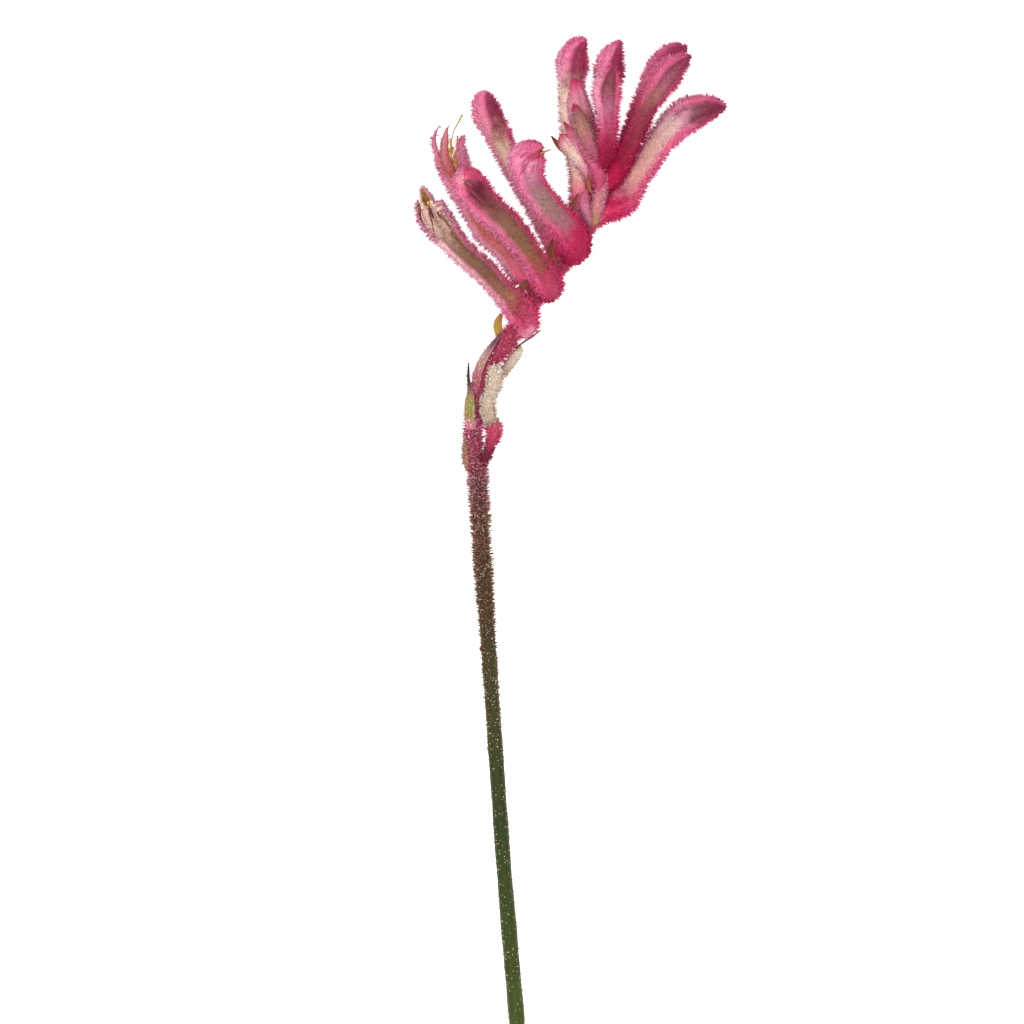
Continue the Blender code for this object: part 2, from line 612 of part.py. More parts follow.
def main():
    clear_scene()
    parts = new_collection("kangaroo_paw")
    cutters = new_collection("cutters")
    stem, sleeve = make_stem(parts, cutters)
    pieces = [stem]
    pieces += make_flowers(parts, sleeve)
    pieces += make_dried_flowers(parts, sleeve)
    pieces += make_buds(parts, sleeve)
    pieces += make_bracts(parts, sleeve)
    ground = make_ground(cutters)
    for item in pieces:
        if item.name in ("stem", "flower_4", "flower_11"):
            cut(item, ground)

    low, high = bounds(pieces)
    centre = bpy.data.objects.new("kangaroo_paw_origin", None)
    parts.objects.link(centre)
    for item in pieces + [sleeve, ground]:
        item.parent = centre
    centre.location = (-0.5 * (low.x + high.x), -0.5 * (low.y + high.y), -low.z)


main()
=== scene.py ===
import math

import bpy
import bmesh
import numpy as np
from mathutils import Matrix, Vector


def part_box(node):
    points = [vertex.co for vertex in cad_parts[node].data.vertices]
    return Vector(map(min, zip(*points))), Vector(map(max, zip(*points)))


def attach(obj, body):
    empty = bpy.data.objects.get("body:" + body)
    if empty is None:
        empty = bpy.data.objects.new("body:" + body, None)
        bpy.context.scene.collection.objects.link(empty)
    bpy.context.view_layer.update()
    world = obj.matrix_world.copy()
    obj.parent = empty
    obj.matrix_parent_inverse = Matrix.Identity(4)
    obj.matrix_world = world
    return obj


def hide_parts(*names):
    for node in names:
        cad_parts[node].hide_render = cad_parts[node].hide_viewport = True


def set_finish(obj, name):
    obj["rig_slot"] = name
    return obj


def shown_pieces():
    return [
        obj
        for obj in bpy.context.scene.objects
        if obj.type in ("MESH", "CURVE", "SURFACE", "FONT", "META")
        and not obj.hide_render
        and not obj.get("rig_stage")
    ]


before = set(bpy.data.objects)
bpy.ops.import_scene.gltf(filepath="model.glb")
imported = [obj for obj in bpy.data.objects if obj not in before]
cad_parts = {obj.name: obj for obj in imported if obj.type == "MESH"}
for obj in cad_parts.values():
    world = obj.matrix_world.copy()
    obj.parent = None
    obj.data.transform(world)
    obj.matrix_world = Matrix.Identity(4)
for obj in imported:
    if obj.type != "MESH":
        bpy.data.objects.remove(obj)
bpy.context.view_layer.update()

mm = 0.001

# the picture: a square of 1024 pixels, each 0.26 mm on the table
picture = {
    "pixels": 1024,
    "mmPerPixel": 0.26,
    "axisPixelX": 520.0,      # the pixel column at X = 0 of the lists below
    "cutPixelY": 1120.0,      # the pixel row of the cut end, past the picture's lower edge
    "cameraHeight": 3000.0,
    "middleHeight": 13.0,     # where the scale holds
    "sensor": 36.0,
}

# how finely pieces are made
fineness = {
    "curveSteps": 24,         # points read between two given ones
    "turnLimit": 0.75,        # how near two rings may come on the inner side of a bend
    "uprightLimit": 0.2,      # below this, a line starts too steeply to take its side from the sky
    "tubeSides": 48,
    "tubeRows": 96,
    "stemSides": 44,
    "stemRows": 300,
    "bladeColumns": 9,
    "bladeRows": 26,
}


# numbers and lines

def unit(vectors):
    return vectors / (np.linalg.norm(vectors, axis=-1, keepdims=True) + 1e-12)


def ease(share):
    return share * share * (3.0 - 2.0 * share)


def degreesOff(turn, angle):
    # how far each turn is from the angle, whichever way round is shorter
    return np.abs((np.degrees(turn) - angle + 180.0) % 360.0 - 180.0)


def smoothLine(points, steps):
    # a smooth curve through given points, read at even steps
    points = np.array(points, float)
    ends = np.vstack([points[:1], points, points[-1:]])
    t = np.arange(fineness["curveSteps"])[:, None] / fineness["curveSteps"]
    runs = []
    for index in range(1, len(ends) - 2):
        before, start, stop, after = ends[index - 1:index + 3]
        runs.append(0.5 * (2 * start + (stop - before) * t
                           + (2 * before - 5 * start + 4 * stop - after) * t ** 2
                           + (3 * start - before - 3 * stop + after) * t ** 3))
    fine = np.vstack(runs + [points[-1:]])
    gaps = np.linalg.norm(np.diff(fine[:, :3], axis=0), axis=1)
    lengths = np.concatenate([[0.0], np.cumsum(gaps)])
    places = np.linspace(0.0, lengths[-1], steps)
    even = np.stack([np.interp(places, lengths, fine[:, k]) for k in range(fine.shape[1])], 1)
    return even, lengths[-1]


def ringFrames(line, radii):
    # rings turn toward the curve, but never so fast that two would cross
    tangent = Vector(line[1] - line[0]).normalized()
    side = tangent.cross(Vector((0.0, 0.0, 1.0)))
    side = side.normalized() if side.length > fineness["uprightLimit"] else Vector((1.0, 0.0, 0.0))
    tangents = [tangent]
    sides = [side]
    for index in range(1, len(line)):
        ahead = Vector(line[min(index + 1, len(line) - 1)] - line[index - 1]).normalized()
        reach = max(Vector(line[index] - line[index - 1]).dot(tangent), 0.0)
        limit = fineness["turnLimit"] * reach / max(radii[index], radii[index - 1])
        angle = tangent.angle(ahead)
        if angle > limit:
            ahead = tangent.slerp(ahead, limit / angle)
        side = tangent.rotation_difference(ahead) @ side
        side = (side - ahead * side.dot(ahead)).normalized()
        tangent = ahead
        tangents.append(tangent)
        sides.append(side)
    return np.array(tangents), np.array(sides)


# skins: points, faces and what each point knows of its place on the plant

# each point's share of the length, how deep it lies in a seam, how far it faces the sky, and how far it
# is on the side away from the key light, which is painted darker and redder as shade
knownOfPoints = ("along", "crease", "crown", "far")
farSide = (0.93, 0.64, 0.75)        # what that side keeps of red, green and blue


def newSkin():
    lists = ("points", *knownOfPoints, "heading", "faces", "slots", "furry")
    return {"count": 0, **{word: [] for word in lists}}


def addPoints(skin, points, along, crease, heading, crown=0.0, far=0.0):
    start = skin["count"]
    count = len(points)
    skin["points"].append(points)
    skin["heading"].append(np.broadcast_to(heading, (count, 3)))
    for word, value in zip(knownOfPoints, (along, crease, crown, far)):
        skin[word].append(np.broadcast_to(value, count))
    skin["count"] += count
    return np.arange(start, start + count)


def addFaces(skin, faces, slot, furry):
    skin["faces"] += faces
    skin["slots"] += [slot] * len(faces)
    skin["furry"] += [furry] * len(faces)


def addGrid(skin, grid, along, crease, heading, slots=(0,), furry=(True,), crown=0.0, far=0.0):
    # rings of points joined in a tube; slots and furry may differ by column
    rows, columns = grid.shape[:2]
    along, crease, crown, far = (np.broadcast_to(values, (rows, columns)).ravel()
                                 for values in (along, crease, crown, far))
    index = addPoints(skin, grid.reshape(-1, 3), along, crease, np.repeat(heading, columns, axis=0), crown, far)
    index = index.reshape(rows, columns)
    follow = np.roll(index, -1, axis=1)
    for column in range(columns):
        faces = np.stack([index[:-1, column], follow[:-1, column], follow[1:, column], index[1:, column]], 1)
        addFaces(skin, faces.tolist(), slots[column * len(slots) // columns],
                 furry[column * len(furry) // columns])
    return index


def joinRings(skin, rings, slot):
    # bare faces between each ring of points and the next
    for low, high in zip(rings, rings[1:]):
        faces = np.stack([low, np.roll(low, -1), np.roll(high, -1), high], 1)
        addFaces(skin, faces.tolist(), slot, False)


def addFan(skin, ring, apex, along, crease, heading, slot=0, furry=True):
    tip = int(addPoints(skin, np.array([apex]), along, crease, heading)[0])
    follow = np.roll(ring, -1)
    addFaces(skin, [[int(a), int(b), tip] for a, b in zip(ring, follow)], slot, furry)


def closeTube(skin, index, line, tangents, reach, crease=0.0, furry=True):
    # one point at each end of a tube, the last one set forward
    addFan(skin, index[0], line[0], 0.0, 0.0, tangents[0], furry=furry)
    addFan(skin, index[-1], line[-1] + tangents[-1] * reach, 1.0, crease, tangents[-1], furry=furry)


def tubeSpokes(line, radii, turn):
    # directions out of the line; turn 0 looks at the sky halfway along it, and grows to the right
    tangents, across = ringFrames(line, radii)
    up = np.cross(tangents, across)
    middle = len(line) // 2
    sky = np.array([0.0, 0.0, 1.0]) - tangents[middle] * tangents[middle][2]
    angles = turn + math.atan2(sky @ up[middle], sky @ across[middle])
    spokes = across[:, None] * np.cos(angles)[None, :, None] + up[:, None] * np.sin(angles)[None, :, None]
    return spokes, tangents


def tubeGrid(line, radii, sides, shape=None):
    turn = np.arange(sides) * math.tau / sides
    spokes, tangents = tubeSpokes(line, radii, turn)
    reach = radii[:, None] * (shape(turn) if shape else np.ones((len(line), sides)))
    return line[:, None] + spokes * reach[..., None], tangents


def wave(turn, share, depth, around, ahead, start=0.0):
    # a swell that runs round a tube and along it
    return depth * np.sin(around * turn[None, :] + ahead * share[:, None] + start)


faceReach = {"full": 24.0, "gone": 60.0}      # degrees to either side of the face's middle


def crownOf(turn, tilt):
    # 1 on the face that a flower turns to the sky, 0 on its flanks and below; tilt is in degrees, by row
    off = degreesOff(turn[None, :], np.atleast_1d(tilt)[:, None])
    return ease(np.clip((faceReach["gone"] - off) / (faceReach["gone"] - faceReach["full"]), 0.0, 1.0))


# stem, to which everything is lined up

stem = {
    "line": [  # x, y, z and radius from the cut end to the growing tip
        (1.5, 0.0, 1.85, 2.05), (-0.8, 25.5, 3.3, 2.05), (-2.7, 47.3, 4.7, 2.05),
        (-4.4, 68.1, 6.1, 1.95), (-6.0, 91.0, 7.6, 1.95), (-7.8, 117.0, 9.2, 1.9),
        (-9.4, 140.7, 10.7, 1.9), (-10.5, 158.9, 11.8, 2.0), (-11.1, 168.7, 12.3, 2.05),
        (-12.0, 175.5, 12.6, 2.0), (-12.0, 182.0, 12.9, 2.0), (-10.9, 188.5, 13.1, 2.0),
        (-8.6, 195.0, 13.3, 2.0), (-5.2, 200.2, 13.4, 2.05), (-1.3, 205.4, 13.5, 2.1),
        (2.6, 211.9, 13.5, 2.0), (7.3, 218.4, 13.5, 1.9), (11.7, 223.1, 13.5, 1.75),
        (15.1, 227.5, 13.5, 1.65), (17.9, 231.9, 13.5, 1.5), (19.8, 236.6, 13.5, 1.4),
        (20.8, 240.5, 13.5, 1.35), (21.0, 247.0, 13.3, 1.0),
    ],
    "colours": [(0, "3E4A10"), (0.15, "344004"), (0.3, "243204"), (0.44, "363208"), (0.52, "38280C"),
                (0.58, "3C2612"), (0.64, "4A2420"), (0.7, "74283C"), (0.76, "8C2A44"), (0.9, "902C46"),
                (1, "B04868")],
    "hairColours": [(0, "B8AC84"), (0.4, "A89870"), (0.48, "746040"), (0.54, "6E5436"), (0.59, "88624E"),
                    (0.64, "A06462"), (0.69, "CC6480"), (0.76, "CC4C66"), (0.9, "D04E6C"), (1, "C87088")],
    "cutColours": {"rind": "4E7030", "pith": "B9C48A"},
    "hairContrast": 2.0,
    "ribs": 9,
    "ribDepth": 0.012,
    "swellings": [(0.02, 71.0, 0.0), (0.015, 167.0, 1.0)],  # depth, radians in the whole length, and start
    "cutRings": (0.9, 0.7, 0.4, 0.12),  # shares of the radius, closing on the pith
    "cutHollow": 0.35,
    "tipReach": 0.8,
    "fibreMm": 0.5,
    "fibreLengthMm": 9.0,
    "fibreRelief": 0.08,
    "fibreDark": 0.7,
    "fibreLight": 1.2,
    "patchMm": 6.0,
    "patchShift": 0.12,       # how far a cloud of colour shifts the colours along the stem
    "vesselMm": 0.45,
    "vesselDark": 0.72,
    "vesselLight": 1.05,
}

stemLine, _ = smoothLine(stem["line"], fineness["stemRows"])
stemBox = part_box("stem")
lineLow = (stemLine[:, :3] - stemLine[:, 3:]).min(0)
lineHigh = (stemLine[:, :3] + stemLine[:, 3:]).max(0)
lineHigh[1] = stemLine[-1, 1]   # the stalk ends flat there
lineLow[1] = stemLine[0, 1]
shift = (np.array(stemBox[0]) + np.array(stemBox[1])) / 2 / mm - (lineLow + lineHigh) / 2
shift[2] = 0.0                  # heights are above the table in both
print("lined up with the solids, moved by", shift.round(2), "mm")


def finishPiece(name, skin, materials, slotName, nodes=()):
    # a mesh in metres that lies on the table, with its places kept as attributes
    points = np.vstack(skin["points"]) + shift
    points[:, 2] = np.maximum(points[:, 2], 0.0)
    mesh = bpy.data.meshes.new(name)
    mesh.from_pydata((points * mm).tolist(), [], skin["faces"])
    mesh.polygons.foreach_set("material_index", np.array(skin["slots"], np.int32))
    for word in knownOfPoints:
        mesh.attributes.new(word, "FLOAT", "POINT").data.foreach_set(
            "value", np.concatenate(skin[word]).astype(np.float32))
    mesh.attributes.new("heading", "FLOAT_VECTOR", "POINT").data.foreach_set(
        "vector", np.vstack(skin["heading"]).astype(np.float32).ravel())
    mesh.attributes.new("furry", "BOOLEAN", "FACE").data.foreach_set("value", np.array(skin["furry"], bool))
    shape = bmesh.new()
    shape.from_mesh(mesh)
    bmesh.ops.recalc_face_normals(shape, faces=shape.faces[:])
    shape.to_mesh(mesh)
    shape.free()
    mesh.shade_smooth()
    for material in materials:
        mesh.materials.append(material)
    piece = bpy.data.objects.new(name, mesh)
    bpy.context.scene.collection.objects.link(piece)
    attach(piece, "root")
    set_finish(piece, slotName)
    if nodes:
        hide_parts(*nodes)
    return piece


# materials

def linearColour(hexCode):
    parts = [int(hexCode[k:k + 2], 16) / 255 for k in (0, 2, 4)]
    return [*(v / 12.92 if v <= 0.04045 else ((v + 0.055) / 1.055) ** 2.4 for v in parts), 1.0]


displayGamma = 2.2            # near enough to turn shares of a colour to linear ones


def addNode(tree, kind, inputs=None, **settings):
    # one node with its settings, its values and its links
    node = tree.nodes.new(kind)
    for word, value in settings.items():
        setattr(node, word, value)
    for socket, value in (inputs or {}).items():
        if isinstance(value, bpy.types.NodeSocket):
            tree.links.new(value, node.inputs[socket])
        else:
            node.inputs[socket].default_value = value
    return node


def newMaterial(name, values):
    material = bpy.data.materials.new(name)
    material.use_nodes = True
    shader = material.node_tree.nodes["Principled BSDF"]
    for socket, value in values.items():
        shader.inputs[socket].default_value = value
    return material, material.node_tree, shader


noiseBand = {"From Min": 0.3, "From Max": 0.7}    # nearly all of a noise lies between these


def setStops(ramp, stops):
    elements = ramp.color_ramp.elements
    while len(elements) < len(stops):
        elements.new(1.0)
    for element, (place, hexCode) in zip(elements, stops):
        element.position = place
        element.color = linearColour(hexCode)


feltSkin = {
    "grainMm": 0.42,          # spacing of the hairs, which dimple the skin
    "patchMm": 3.2,           # soft clouds of deeper and paler colour
    "patchShift": 0.22,       # how far a cloud shifts the colours along the flower
    "grainDark": 0.62,
    "grainLight": 1.22,
    # how much painted shade darkens the seams
    "creaseShare": 0.75,
    "dimpleMm": 0.16,
    "roughness": 0.82,
}


def feltSkinMaterial(name, stops, seamShadeHex, flankStops=None):
    # living skin under the felt: matt, mottled by the bases of its hairs, in a soft body colour that shifts
    # along the flower and differs between its face, its flanks and its seams; the seams and the side away
    # from the key light are darkened as painted shade
    material, tree, shader = newMaterial(name, {
        "Roughness": feltSkin["roughness"], "Specular IOR Level": 0.12})
    along, crease, crown, far = (addNode(tree, "ShaderNodeAttribute", attribute_name=word).outputs["Fac"]
                                 for word in knownOfPoints)
    place = addNode(tree, "ShaderNodeTexCoord")
    patches = addNode(tree, "ShaderNodeTexNoise", {
        "Vector": place.outputs["Object"], "Scale": 1 / (feltSkin["patchMm"] * mm), "Detail": 2.0})
    drift = addNode(tree, "ShaderNodeMath", {0: patches.outputs["Fac"], 1: 0.5}, operation="SUBTRACT")
    nudge = addNode(tree, "ShaderNodeMath", {0: drift.outputs[0], 1: feltSkin["patchShift"], 2: along},
                    operation="MULTIPLY_ADD")
    body = addNode(tree, "ShaderNodeValToRGB", {"Fac": nudge.outputs[0]})
    setStops(body, stops)
    flank = addNode(tree, "ShaderNodeValToRGB", {"Fac": nudge.outputs[0]})
    setStops(flank, flankStops or stops)
    rounded = addNode(tree, "ShaderNodeMix", {
        "Factor": crown, "A": flank.outputs["Color"], "B": body.outputs["Color"]}, data_type="RGBA")
    # painted shade: the side away from the key light is darkened and reddened
    tint = addNode(tree, "ShaderNodeMix", {
        "Factor": far, "A": (1.0, 1.0, 1.0, 1.0),
        "B": tuple(part ** displayGamma for part in farSide) + (1.0,)}, data_type="RGBA")
    withPaintedShade = addNode(tree, "ShaderNodeVectorMath", {
        0: rounded.outputs["Result"], 1: tint.outputs["Result"]}, operation="MULTIPLY")
    grain = addNode(tree, "ShaderNodeTexNoise", {
        "Vector": place.outputs["Object"], "Scale": 1 / (feltSkin["grainMm"] * mm), "Detail": 3.0,
        "Roughness": 0.65})
    gain = addNode(tree, "ShaderNodeMapRange", {
        "Value": grain.outputs["Fac"], **noiseBand, "To Min": feltSkin["grainDark"],
        "To Max": feltSkin["grainLight"]})
    speckled = addNode(tree, "ShaderNodeVectorMath", {
        0: withPaintedShade.outputs[0], "Scale": gain.outputs[0]}, operation="SCALE")
    # painted shade: the seams are drawn toward the crease colour, as the shade in their grooves
    seamShade = addNode(tree, "ShaderNodeMath", {0: crease, 1: feltSkin["creaseShare"]}, operation="MULTIPLY")
    final = addNode(tree, "ShaderNodeMix", {
        "Factor": seamShade.outputs[0], "A": speckled.outputs[0], "B": linearColour(seamShadeHex)}, data_type="RGBA")
    tree.links.new(final.outputs["Result"], shader.inputs["Base Color"])
    bump = addNode(tree, "ShaderNodeBump", {
        "Height": grain.outputs["Fac"], "Distance": feltSkin["dimpleMm"] * mm, "Strength": 0.6})
    tree.links.new(bump.outputs["Normal"], shader.inputs["Normal"])
    return material


hairTints = {  # branched plant hairs, each one clear colour
    "wine": "7E0F30", "ruby": "9C1440", "crimson": "B4184A", "cerise": "CC2E66", "hotPink": "E24E82",
    "rose": "E6749C", "pink": "EE9ABC", "blush": "F6C4D4", "lilac": "E08CAC", "mauve": "CE5E86",
    "orchid": "BE4470", "plum": "902C4C", "maroon": "6A1E38", "brick": "A04450", "oldRose": "B8687A",
    "dustyPink": "CC8C98", "shell": "E2B4AE", "coral": "E8607A", "cream": "ECDABC", "straw": "D4BC90",
    "sand": "BEA27A", "tan": "A88866", "clay": "A0705A", "copper": "B06A48", "olive": "84704A",
    "umber": "6A4638", "brown": "5E3226", "taupe": "8E6460", "bone": "DCCCBC", "ash": "B8A490",
    "white": "FFF6F2",
}
paintedHairGlow = 0.07               # painted glow: each hair gives off a little light of its own colour, standing in for light that passes through it
tintNames = list(hairTints)
tintParts = np.array([[int(tint[k:k + 2], 16) for k in (0, 2, 4)] for tint in hairTints.values()], float)
tintWeights = (1.0, 1.3, 1.0)       # the eye tells shades of green apart best


def hairMaterial(tint):
    # a fine, slightly waxy hair: soft gloss, one clear colour and a faint painted glow, so never quite dark in
    # the shade
    colour = linearColour(hairTints[tint])
    return newMaterial("hair_" + tint, {
        "Base Color": colour, "Roughness": 0.7, "Specular IOR Level": 0.12,
        "Emission Color": colour, "Emission Strength": paintedHairGlow})[0]


hairMaterials = [hairMaterial(tint) for tint in tintNames]


# coats of hair

# where the random draws of each kind of piece start; tepals and organs count on from their flower's
seeds = {"stem": 11, "flowers": 101, "buds": 201, "witheredFlowers": 301, "bracts": 401, "tepals": 50,
         "organs": 60}

coats = {
    # at each place along: length in mm, hairs per square mm, and the share with a white tip
    "flower": [(0.0, 1.25, 6.0, 0.16), (0.1, 1.5, 7.0, 0.12), (0.2, 1.5, 6.5, 0.03), (0.6, 1.42, 5.7, 0.01),
               (0.85, 1.3, 6.3, 0.005), (0.95, 1.05, 8.0, 0.0), (1.0, 0.7, 8.0, 0.0)],
    "bud": [(0.0, 1.2, 8.0, 0.03), (0.5, 1.0, 8.5, 0.04), (0.85, 0.6, 8.5, 0.0), (1.0, 0.35, 9.0, 0.0)],
    "tepal": [(0.0, 1.3, 8.0, 0.01), (1.0, 1.1, 9.0, 0.01)],
    "stem": [(0.0, 0.5, 0.5, 0.6), (0.38, 0.6, 0.9, 0.6), (0.48, 0.9, 3.0, 0.25), (0.54, 1.3, 6.0, 0.12),
             (0.62, 1.6, 6.0, 0.12), (0.70, 1.6, 6.0, 0.08), (0.77, 1.35, 7.0, 0.01), (1.0, 1.0, 7.0, 0.0)],
    "wool": [(0.0, 0.8, 8.0, 0.02), (0.25, 1.0, 9.0, 0.02), (0.4, 1.5, 10.0, 0.05), (0.46, 1.2, 11.0, 0.35),
             (1.0, 1.3, 12.0, 0.5)],
    "bract": [(0.0, 1.1, 10.0, 0.05), (0.6, 1.1, 10.0, 0.1), (1.0, 0.5, 3.0, 0.0)],
}

hairShape = {
    # leaders stand out as a fringe, followers fill between them, and the rest is a short pile
    "leaders": {"share": 0.5, "radius": 0.155, "shortest": 0.65, "longest": 1.2, "lean": 0.2,
                "spread": 0.16, "tone": 0.1},
    "followers": {"share": 1.2, "radius": 0.085, "shortest": 0.25, "longest": 0.55, "lean": 0.35,
                  "spread": 0.45, "tone": 0.15},
    "pile": {"share": 0.4, "radius": 0.1, "shortest": 0.1, "longest": 0.2, "lean": 0.2,
             "spread": 0.3, "tone": 0.07},
    "thinnest": 0.8,
    "thickest": 1.2,
    "waist": 0.75,            # share of a leader's foot left halfway up
    "sunk": 0.1,
    "bend": 0.1,
    "clump": 0.15,            # how far followers are drawn to the tip of their leader
    "crownLength": 0.5,       # hairs that face the sky are worn short
    "crownDensity": 0.75,
    "creaseDensity": 0.3,
    # a hair is darker at its foot than at its tip; on the withered flowers a raised contrast paints shade among
    # the woolly hairs
    "rootTone": 0.88,
    "tipTone": 1.1,
    "softness": 0.5,          # how far a hair is shaded as itself and not as the skin below
    "clearance": 0.02,        # hairs lie along the table, not in it
    # faces of a hair by the numbers of its points: a ring at the foot, one at the waist, and the tip
    "waistedFaces": [(0, 1, 4), (0, 4, 3), (1, 2, 5), (1, 5, 4), (2, 0, 3), (2, 3, 5), (3, 4, 6), (4, 5, 6),
                     (5, 3, 6)],
    "plainFaces": [(0, 1, 3), (1, 2, 3), (2, 0, 3)],
}


def toneAt(stops, places):
    # the colour that a row of stops has at each place, in sRGB parts
    spots = [stop[0] for stop in stops]
    parts = np.array([[int(stop[1][k:k + 2], 16) for k in (0, 2, 4)] for stop in stops], float)
    return np.stack([np.interp(places, spots, parts[:, k]) for k in range(3)], 1)


def nearestTint(tones):
    return ((tones[:, None] - tintParts[None]) ** 2 * tintWeights).sum(2).argmin(1).astype(np.int32)


def nearest(points, others):
    # the number of the nearest of the others, for each point
    spans = (others ** 2).sum(1)[None, :] - 2.0 * points @ others.T
    return spans.argmin(1)


def readValues(mesh, word):
    values = np.zeros(len(mesh.vertices), np.float32)
    mesh.attributes[word].data.foreach_get("value", values)
    return values


def readVectors(items, word):
    values = np.zeros(len(items) * 3, np.float32)
    items.foreach_get(word, values)
    return values.reshape(-1, 3).astype(float)


def furryTriangles(mesh):
    mesh.calc_loop_triangles()
    corners = np.zeros(len(mesh.loop_triangles) * 3, np.int32)
    mesh.loop_triangles.foreach_get("vertices", corners)
    owner = np.zeros(len(mesh.loop_triangles), np.int32)
    mesh.loop_triangles.foreach_get("polygon_index", owner)
    furry = np.zeros(len(mesh.polygons), bool)
    mesh.attributes["furry"].data.foreach_get("value", furry)
    return corners.reshape(-1, 3)[furry[owner]]


def growCoat(host, coatName, seed, crownStops, flankStops=None, thickness=1.0, longer=1.0, contrast=1.0):
    # seeds hairs all over the furry faces of a piece, in the colours of its skin, as one mesh
    form = hairShape
    rng = np.random.default_rng(seed)
    mesh = host.data
    corners = furryTriangles(mesh)
    points = readVectors(mesh.vertices, "co") / mm
    normals = readVectors(mesh.vertex_normals, "vector")
    headings = readVectors(mesh.attributes["heading"].data, "vector")
    along, crease, crown, far = (readValues(mesh, word) for word in knownOfPoints)
    places, lengths, densities, frostings = zip(*coats[coatName])
    a, b, c = (points[corners[:, k]] for k in range(3))
    area = np.linalg.norm(np.cross(b - a, c - a), axis=1) / 2
    wanted = area * np.interp(along[corners].mean(1), places, densities)
    wanted = wanted * (1.0 + (form["crownDensity"] - 1.0) * crown[corners].mean(1))
    if coatName in ("flower", "bud"):
        wanted = wanted * (1.0 + (form["creaseDensity"] - 1.0) * crease[corners].mean(1))
    whiteHaired = coatName in ("stem", "wool")
    paleTints = [tintNames.index(tint) for tint in (("white", "bone") if whiteHaired else ("blush", "pink"))]
    third = np.arange(3) * math.tau / 3
    verts, faces, slots, shades = [], [], [], []
    count = 0
    leaderRoot = leaderTip = None
    for layer in ("leaders", "followers", "pile"):
        kind = form[layer]
        number = int(wanted.sum() * kind["share"])
        chosen = rng.choice(len(corners), number, p=wanted / wanted.sum())
        weights = rng.dirichlet((1.0, 1.0, 1.0), number)
        picked = corners[chosen]
        root, normal, heading = ((values[picked] * weights[..., None]).sum(1)
                                 for values in (points, normals, headings))
        where, facing, paintedShadeShare = ((values[picked] * weights).sum(1) for values in (along, crown, far))
        normal = unit(normal)
        length = np.interp(where, places, lengths) * longer
        length = length * rng.uniform(kind["shortest"], kind["longest"], number)
        length = length * (1.0 + (form["crownLength"] - 1.0) * facing)
        rise = unit(normal + heading * kind["lean"] + rng.normal(0.0, kind["spread"], (number, 3)))
        tip = root + rise * length[:, None] + rng.normal(0.0, form["bend"], (number, 3)) * length[:, None]
        if layer == "leaders":
            leaderRoot, leaderTip = root, tip
        elif layer == "followers":
            near = nearest(root, leaderRoot)
            aim = root + unit(leaderTip[near] - root) * length[:, None]
            tip = tip + (aim - tip) * form["clump"]

        across = unit(np.cross(rise, rng.normal(size=(number, 3))))
        beside = np.cross(rise, across)
        radius = kind["radius"] * thickness * rng.uniform(form["thinnest"], form["thickest"], number)
        ring = across[:, None] * np.cos(third)[:, None] + beside[:, None] * np.sin(third)[:, None]
        low = (root - normal * form["sunk"])[:, None] + ring * radius[:, None, None]

        tone = toneAt(flankStops or crownStops, where)
        tone = tone + (toneAt(crownStops, where) - tone) * facing[:, None]
        # the hairs on the side away from the key light get the same painted shade
        tone = tone * (1.0 - paintedShadeShare[:, None] * (1.0 - np.array(farSide)))
        tone = tone * rng.normal(1.0, kind["tone"], number)[:, None]
        rootTint = nearestTint(tone * form["rootTone"] ** contrast)
        tipTint = nearestTint(tone * form["tipTone"] ** contrast)
        frosted = rng.random(number) < np.interp(where, places, frostings)
        pale = np.where(rng.random(number) < 0.5, *paleTints)
        if layer != "leaders" or whiteHaired:
            tipTint = np.where(frosted, pale, tipTint)

        around = unit(normal[:, None] + ring * form["softness"])
        above = unit(normal + rise * form["softness"])[:, None]
        if layer == "leaders":
            waist = root + rise * (0.5 * length)[:, None]
            high = waist[:, None] + ring * (radius * form["waist"])[:, None, None]
            block = np.concatenate([low, high, tip[:, None]], 1)
            shade = np.concatenate([around, around, above], 1)
            pattern = np.array(form["waistedFaces"])
            atTip = pattern.max(1) == block.shape[1] - 1    # the faces that end in the last point
            tints = np.where(atTip, tipTint[:, None], rootTint[:, None])
        else:
            block = np.concatenate([low, tip[:, None]], 1)
            shade = np.concatenate([around, above], 1)
            pattern = np.array(form["plainFaces"])
            tint = np.where(rng.random(number) < 0.5, rootTint, tipTint)
            tints = np.repeat(tint[:, None], len(pattern), 1)
        size = block.shape[1]
        starts = count + np.arange(number) * size
        faces.append((starts[:, None, None] + pattern).reshape(-1, 3))
        slots.append(tints.ravel())
        verts.append(block.reshape(-1, 3))
        shades.append(shade.reshape(-1, 3))
        count += number * size
    verts = np.vstack(verts)
    verts[:, 2] = np.maximum(verts[:, 2], form["clearance"])
    addHairs(host, verts, np.vstack(faces), np.concatenate(slots), np.vstack(shades))


def addHairs(host, verts, faces, slots, shades):
    # one mesh that rides with its host; it gets only the tints that it uses
    name = host.name + "_hairs"
    numbers = np.zeros(len(tintNames), np.int32)
    mesh = bpy.data.meshes.new(name)
    mesh.from_pydata((verts * mm).tolist(), [], faces.tolist())
    for place, tint in enumerate(sorted(set(slots.tolist()))):
        numbers[tint] = place
        mesh.materials.append(hairMaterials[tint])
    mesh.polygons.foreach_set("material_index", numbers[slots])
    mesh.shade_smooth()
    mesh.normals_split_custom_set_from_vertices(shades.tolist())
    piece = bpy.data.objects.new(name, mesh)
    bpy.context.scene.collection.objects.link(piece)
    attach(piece, "root")
    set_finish(piece, host["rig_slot"])


# stem skin: smooth green rind below, reddish and hairy above

